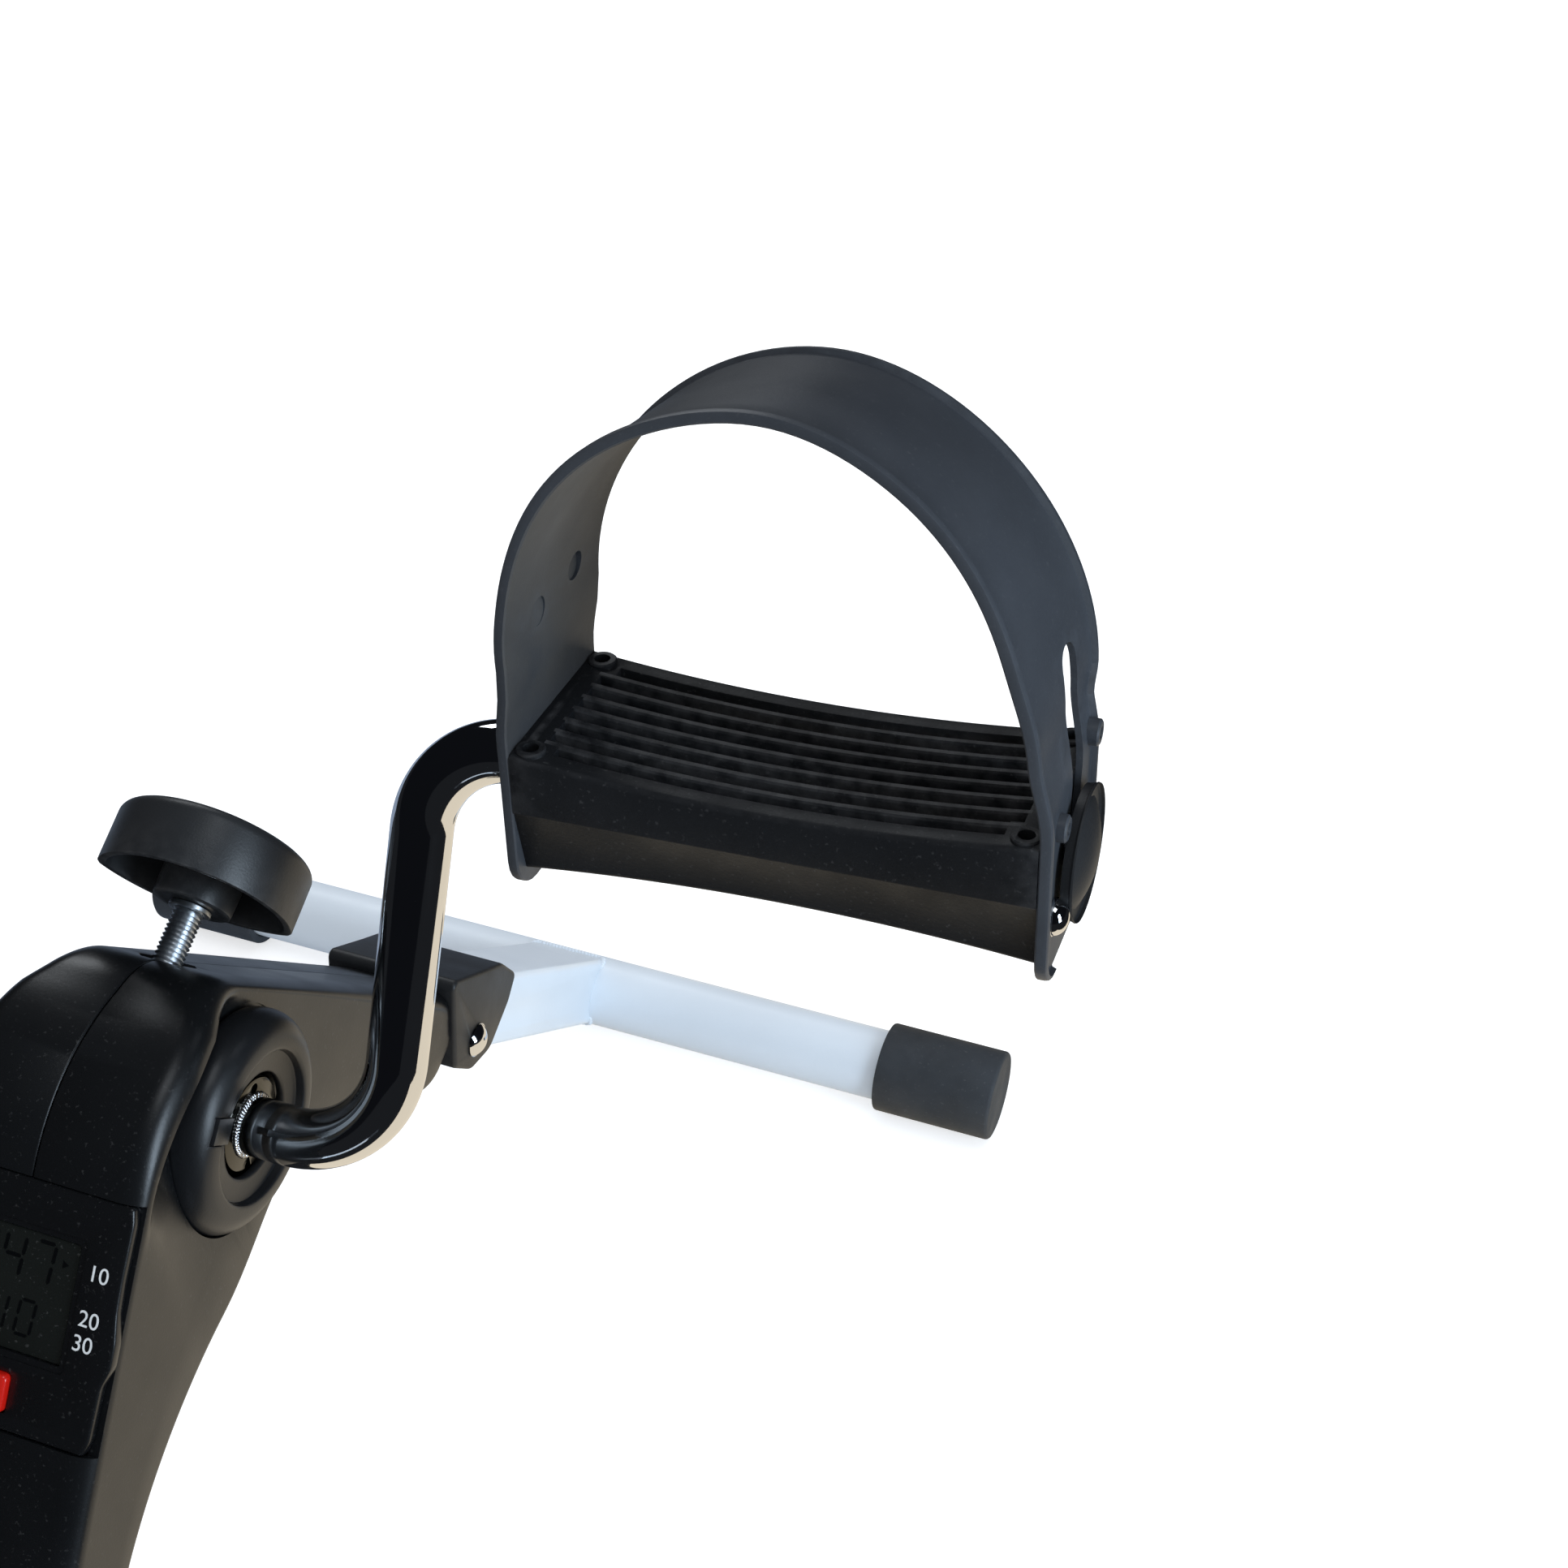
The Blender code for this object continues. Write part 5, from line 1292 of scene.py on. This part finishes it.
def stemRing(along, half, low, high, radius):
    return [(x, *stemPoint(along, above)) for x, above in barOutline(half, low, high, radius)]


def standMeasures():
    given = standSet
    at = Vector((given["tubeY"] - bike["pivotY"], given["tubeZ"] - bike["pivotZ"]))
    reach = at.x * cos(given["slope"]) - at.y * sin(given["slope"])
    offset = at.x * sin(given["slope"]) + at.y * cos(given["slope"])
    return at, reach, offset


def makeStand(end):
    given = standSet
    word = endWord(end)
    body = word + "_stand"
    place = pivotPlace(end)
    at, reach, offset = standMeasures()
    half, tubeR = given["stemHalf"], given["tubeR"]
    low, high = offset - given["stemThick"] / 2, offset + given["stemThick"] / 2
    tops = [(-reach + 4.0, high)]
    tops += [(high * sin(radians(a)), high * cos(radians(a))) for a in (0, 6, 12, 18)]
    rings = [stemRing(along, half, low, top, given["cornerR"]) for along, top in tops]
    stem = makePiece(word + "Stem", mirrored(loft(rings), end), finish["whitePaint"], place, 40)
    wall = given["stemWall"]
    hollow = loft([stemRing(along, half - wall, low + wall, high - 2.4, 1.2) for along in (-reach - 6, 12)])
    carve(stem, [mirrored(hollow, end)], place)
    carve(stem, [rod(given["boltR"] + bike["gap"], -30, 30, 0, 0, 40),
                 mirrored(rod(tubeR + 0.05, -30, 30, at.x, at.y, 96), end)], place)
    breakEdges(stem, 0.4, 55, 40)
    attach(stem, body, "white_paint", word + "_stem")

    capIn, capOut, radius, lining = given["capIn"], given["capOut"], given["capR"], given["liningR"]
    long, bore = capOut - 4.4, tubeR - given["tubeWall"]
    centre = place @ Matrix.Translation((0, end * at.x, at.y))
    shell = turned([(-long, tubeR), (long, tubeR), (long, bore), (-long, bore)], 96, True)
    attach(makePiece(word + "Tube", shell, finish["whitePaint"], centre), body, "white_paint", word + "_tube")

    floor = capOut - given["capFloor"]
    outline = [(capOut, 0.02), (capOut, radius - 2.2)]
    bend, lip = given["capEnd"], given["capLip"]
    for a in (0, 30, 60, 90):
        outline.append((capOut - bend + bend * cos(radians(a)), radius - bend + bend * sin(radians(a))))
    for a in (0, 45, 90):
        outline.append((capIn + lip - lip * sin(radians(a)), radius - lip + lip * cos(radians(a))))
    outline += [(capIn, given["lipR"]), (capIn + 0.4, lining), (floor, lining), (floor, 0.02)]
    for side in (1, -1):
        hand = handWord(side)
        cap = makePiece(word + "Cap" + hand, flipped(turned(outline, 96), side), finish["cap"], centre, 40)
        attach(cap, body, "cap_rubber", "%s_cap_%s" % (word, hand.lower()))

    seam = []
    line = barOutline(half, low, high, given["cornerR"])
    for x, above in line + line[:1]:
        y, z = stemPoint(-reach + sqrt(max(0.0, tubeR ** 2 - (above - offset) ** 2)), above)
        seam.append((x, end * y, z))
    attach(grow(word + "Weld", standWeld, beadSizes(given, 11 + end), place, seam), body, "white_paint")


saddleSet = {
    "outline": ((-9, 34, 2.5), (11, 20.6, 14), (22.5, 13.2, 8), (30.5, 1.5, 2.5), (23.5, -5, 6),
                (8, -12.3, 8), (-5, -9.0, 6), (-14.5, 1, 3)),
    "room": ((-30, -30), (-30, 0.5), (-10.4, 2.0), (-8.3, 6.5), (-4.5, 10.0), (-0.5, 12.2), (4.3, 17.4)),
    "roofAngles": (72, 68, 64, 60, 55, 50.4),          # where the folding stem's head sweeps
    "plugHalf": 14.9, "plug": ((104, 106.6), (115.0, 109.5), (115.0, 120.6), (104, 130.9)),
}


def makeSaddle(end):
    given = standSet
    word = endWord(end)
    place = pivotPlace(end)
    block = prism(rounded(saddleSet["outline"], 8), -given["cheekOut"], given["cheekOut"])
    block = makePiece(word + "Saddle", mirrored(block, end), finish["saddle"], place, 30)
    breakEdges(block, 1.3, 50, 30, 5)
    room = list(saddleSet["room"])
    roof = hypot(*room[-1])
    room += [(roof * cos(radians(a)), roof * sin(radians(a))) for a in saddleSet["roofAngles"]]
    far = stemPoint(-60.0, roof)
    room += [far, (far[0], -40)]
    plug = [(y - bike["pivotY"], z - bike["pivotZ"]) for y, z in saddleSet["plug"]]
    for cut in (prism(room, -given["cheekIn"], given["cheekIn"]),
                prism(plug, -saddleSet["plugHalf"], saddleSet["plugHalf"]),
                rod(given["boltR"] + bike["gap"], -40, 40, 0, 0, 40)):
        carve(block, [mirrored(cut, end)], place)
    breakEdges(block, 0.4, 55, 40)
    attach(block, "frame", "housing_plastic", word + "_saddle")


boltSet = {"foot": ((-5.6, 2.4), (-5.2, 3.0)), "collar": ((0.0, 3.0), (0.0, 5.2), (0.15, 5.5)),
           "dome": (3.4, 6.3, 33), "nut": ((-4.6, 5.2), (-4.1, 5.7), (0.0, 5.7))}


def makePivotBolt(end):
    # a domed head on the right, a hexagon nut on the left
    word = endWord(end)
    place = pivotPlace(end)
    face = standSet["cheekOut"] + bike["gap"]
    back, domeR, start = boltSet["dome"]
    shank = [(-face + x, radius) for x, radius in boltSet["foot"]]
    shank += [(face + x, radius) for x, radius in boltSet["collar"]]
    head = domePoints((face - back, 0.0), domeR, start, 90, 19)
    bolt = makePiece(word + "PivotBolt", turned(shank + head, 64), finish["chrome"], place, 50)
    attach(bolt, "frame", "chrome", word + "_pivot_bolt")
    nut = turned([(-face + x, radius) for x, radius in boltSet["nut"]], 6)
    nut = makePiece(word + "PivotNut", nut, finish["zinc"], place, 20)
    carve(nut, [rod(standSet["boltR"] + 0.05, -40, 0, 0, 0, 40)], place)
    breakEdges(nut, 0.2, 50, 30)
    attach(nut, "frame", "zinc", word + "_pivot_nut")


# Console: panel, screen, numerals and the red button

console = {"panelHigh": -12.9, "panelLow": -74.6, "thick": 3.0, "windowHalf": 16.4, "windowHigh": -25.2,
           "windowLow": -55.4, "buttonY": -65.4, "buttonHalf": (4.4, 4.8),
           "wave": ((-12.9, 28.0, 1.0), (-17.0, 28.8, 6.0), (-31.0, 28.6, 30.0), (-38.6, 28.8, 8.0),
                    (-46.2, 29.9, 8.0), (-52.2, 29.9, 6.0), (-57.2, 28.2, 6.0), (-70.9, 27.9, 5.0),
                    (-74.6, 26.6, 1.0)),
           "labels": (("10", 22.3, -31.0), ("20", 22.0, -42.2), ("30", 21.5, -48.3)), "labelHigh": 4.1,
           "digits": (("2", -9.5, -32.4, 10.2), ("4", -1.6, -32.4, 10.2), ("7", 6.6, -32.4, 10.2),
                      ("1", -3.0, -46.6, 8.6), ("0", 4.6, -46.6, 8.6)),
           "marker": ((13.6, -31.2), (11.9, -30.2), (11.9, -32.2)),
           "sunk": (1.6, -0.35), "labelCapital": 0.72, "labelDeep": 0.03, "labelLift": 0.04,
           "panelEdge": ((0.0, -3.0), (0.0, -1.0), (0.15, -0.5), (0.5, -0.12), (1.0, 0.0)),
           "case": (20.5, -74.0, -20.5), "caseFoot": -9.5, "caseRoom": (18.7, -72.2, -22.3),
           "glassSteps": ((1.4, -4.8), (1.4, -3.3), (-0.2, -3.3), (-0.2, -1.2), (-0.45, -1.0))}
consoleFrame = Matrix.Translation((0, *legPoint(0))) @ Matrix.Rotation(housing["legTilt"], 4, "X")


def rectangle(half, low, high, radius=0.0):
    corners = [(half, high), (half, low), (-half, low), (-half, high)]
    return rounded([(x, y, radius) for x, y in corners], 15)


def panelOutline(inset=0.0):
    low, high = console["panelLow"] + inset, console["panelHigh"] - inset
    right = [(half - inset, min(high, max(low, y)), radius) for y, half, radius in console["wave"]]
    left = [(-x, y, radius) for x, y, radius in reversed(right)]
    return rounded(right + left, 10)


figure = {"wide": 0.095, "gap": 0.035, "lean": 0.08}                         # as shares of its height
segmentPlan = {"0": "abcdef", "1": "bc", "2": "abged", "4": "fgbc", "7": "abc"}
segmentBars = {"a": (0, 2, True), "b": (1, 1, False), "c": (1, -1, False), "d": (0, -2, True),
               "e": (-1, -1, False), "f": (-1, 1, False), "g": (0, 0, True)}         # column, row, lying
inkHeights = (-1.02, -0.94)                            # the figures lie just on the screen


def segmentShapes(digit, x, y, high):
    # seven-segment figure: long hexagons, leaning a little
    half, wide, gap = high / 4, high * figure["wide"], high * figure["gap"]
    reach = half - gap
    shapes = []
    for key in segmentPlan[digit]:
        column, row, lying = segmentBars[key]
        outline = [(-reach, 0), (-reach + wide / 2, wide / 2), (reach - wide / 2, wide / 2), (reach, 0),
                   (reach - wide / 2, -wide / 2), (-reach + wide / 2, -wide / 2)]
        if not lying:
            outline = [(-b, a) for a, b in outline]
        spots = []
        for a, b in outline:
            px, py = a + column * half, b + row * half
            spots.append((x + px + figure["lean"] * py, y + py))
        shapes.append(slab(spots, *inkHeights))
    return shapes


def makeLabel(number, word, x, y):
    text = bpy.data.curves.new("label", "FONT")
    text.body = word
    text.size = console["labelHigh"] * mm / console["labelCapital"]
    text.extrude = console["labelDeep"] * mm
    text.align_x, text.align_y = "CENTER", "CENTER"
    holder = addObject("label", text)
    mesh = plainMesh(holder)
    bpy.data.objects.remove(holder)
    mesh.transform(inMetres(consoleFrame @ Matrix.Translation((x, y, console["labelLift"]))))
    mesh.materials.clear()
    mesh.materials.append(finish["print"])
    attach(addObject("consoleLabel%d" % number, mesh), "frame", "housing_plastic")


def makeConsole():
    given = console
    thick = given["thick"]
    half, low, high = given["windowHalf"], given["windowLow"], given["windowHigh"]
    rings = [flatRing(panelOutline(inset), height) for inset, height in given["panelEdge"]]
    case = makePiece("consoleCase", loft(rings), finish["console"], consoleFrame, 30)
    join(case, [slab(rectangle(*given["case"]), -thick + 1.0, given["caseFoot"])], consoleFrame)
    carve(case, [slab(rectangle(*given["caseRoom"]), -thick, given["caseFoot"] - 2.5)], consoleFrame)
    window = slab(rectangle(half, low, high, 0.8), -5.0, 3.0)
    rim, deep = given["sunk"]
    sunk = slab(rectangle(half + rim, low - rim, high + rim, rim), deep, 3.0)
    halfX, halfY = given["buttonHalf"]
    gateLow, gateHigh = given["buttonY"] - halfY - 0.3, given["buttonY"] + halfY + 0.3
    gate = slab(rectangle(halfX + 0.3, gateLow, gateHigh, 1.2), -5.0, 3.0)
    carve(case, [sunk], consoleFrame)
    carve(case, [window, gate], consoleFrame)
    breakEdges(case, 0.22, 50, 35)
    attach(case, "frame", "housing_plastic", "console_case")

    rings = []
    for out, height in given["glassSteps"]:
        rings.append(flatRing(rectangle(half + out, low - out, high + out, 0.7), height))
    glass = makePiece("lcdGlass", loft(rings), finish["glass"], consoleFrame, 30)
    attach(glass, "frame", "screen_glass", "lcd_screen")

    shapes = []
    for digit, x, y, tall in given["digits"]:
        shapes += segmentShapes(digit, x, y, tall)
    shapes.append(slab(given["marker"], *inkHeights))
    digits = makePiece("lcdDigits", merge(shapes), finish["segment"], consoleFrame)
    attach(digits, "frame", "screen_glass")
    for k, (word, x, y) in enumerate(given["labels"]):
        makeLabel(k + 1, word, x, y)


buttonSteps = ((1.0, -5.4), (1.0, -4.9), (0.0, -4.9), (0.0, 0.9), (-0.1, 1.4), (-0.35, 1.75), (-0.7, 1.95),
               (-1.2, 2.0))                            # how far the sides stand out, and at what height


def makeButton():
    halfX, halfY = console["buttonHalf"]
    rings = []
    for out, height in buttonSteps:
        rings.append(flatRing(rectangle(halfX + out, -halfY - out, halfY + out, 1.4), height))
    place = consoleFrame @ Matrix.Translation((0, console["buttonY"], 0))
    cap = makePiece("resetButton", loft(rings), finish["red"], place, 40)
    attach(cap, "button", "red_plastic", "reset_button")


# Making all of it

hubWeld = beadTree("hubWeld", beadSizes(crankSet, 3), finish["weld"])
standWeld = beadTree("standWeld", beadSizes(standSet, 11), finish["whitePaint"])
treadSlats = slatTree(slatSizes())
domedRivets = rivetTree(rivetSizes())
for side in (1, -1):
    makeHousing(side)
    makeHubCover(side)
print("housing made")
makeHousingScrews()
makeConsole()
makeButton()
print("console made")
for side in (1, -1):
    makeCrank(side)
    makeSpindleCap(side)
    makePedal(side)
    makeStrap(side)
print("cranks and pedals made")
makeKnob()
makeScrew()
for end in (1, -1):
    makeStand(end)
    makeSaddle(end)
    makePivotBolt(end)
print("knob and stands made")

# Inner pieces keep their solids and get a real finish
innerFinishes = {
    "spine_frame": "steel", "bearing_right": "nylon", "bearing_left": "nylon", "tension_nut": "zinc",
    "circuit_board": "board", "battery": "zinc", "reed_sensor": "reed", "crank_axle": "steel",
    "friction_drum": "steel", "sensor_magnet": "steel", "spindle_nut_right": "zinc",
    "spindle_nut_left": "zinc", "brake_shoe": "felt",
}
for node, look in innerFinishes.items():
    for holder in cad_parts[node].material_slots:
        holder.link = "OBJECT"
        holder.material = finish[look]
    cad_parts[node].data.update()
print("inner pieces dressed:", len(innerFinishes))
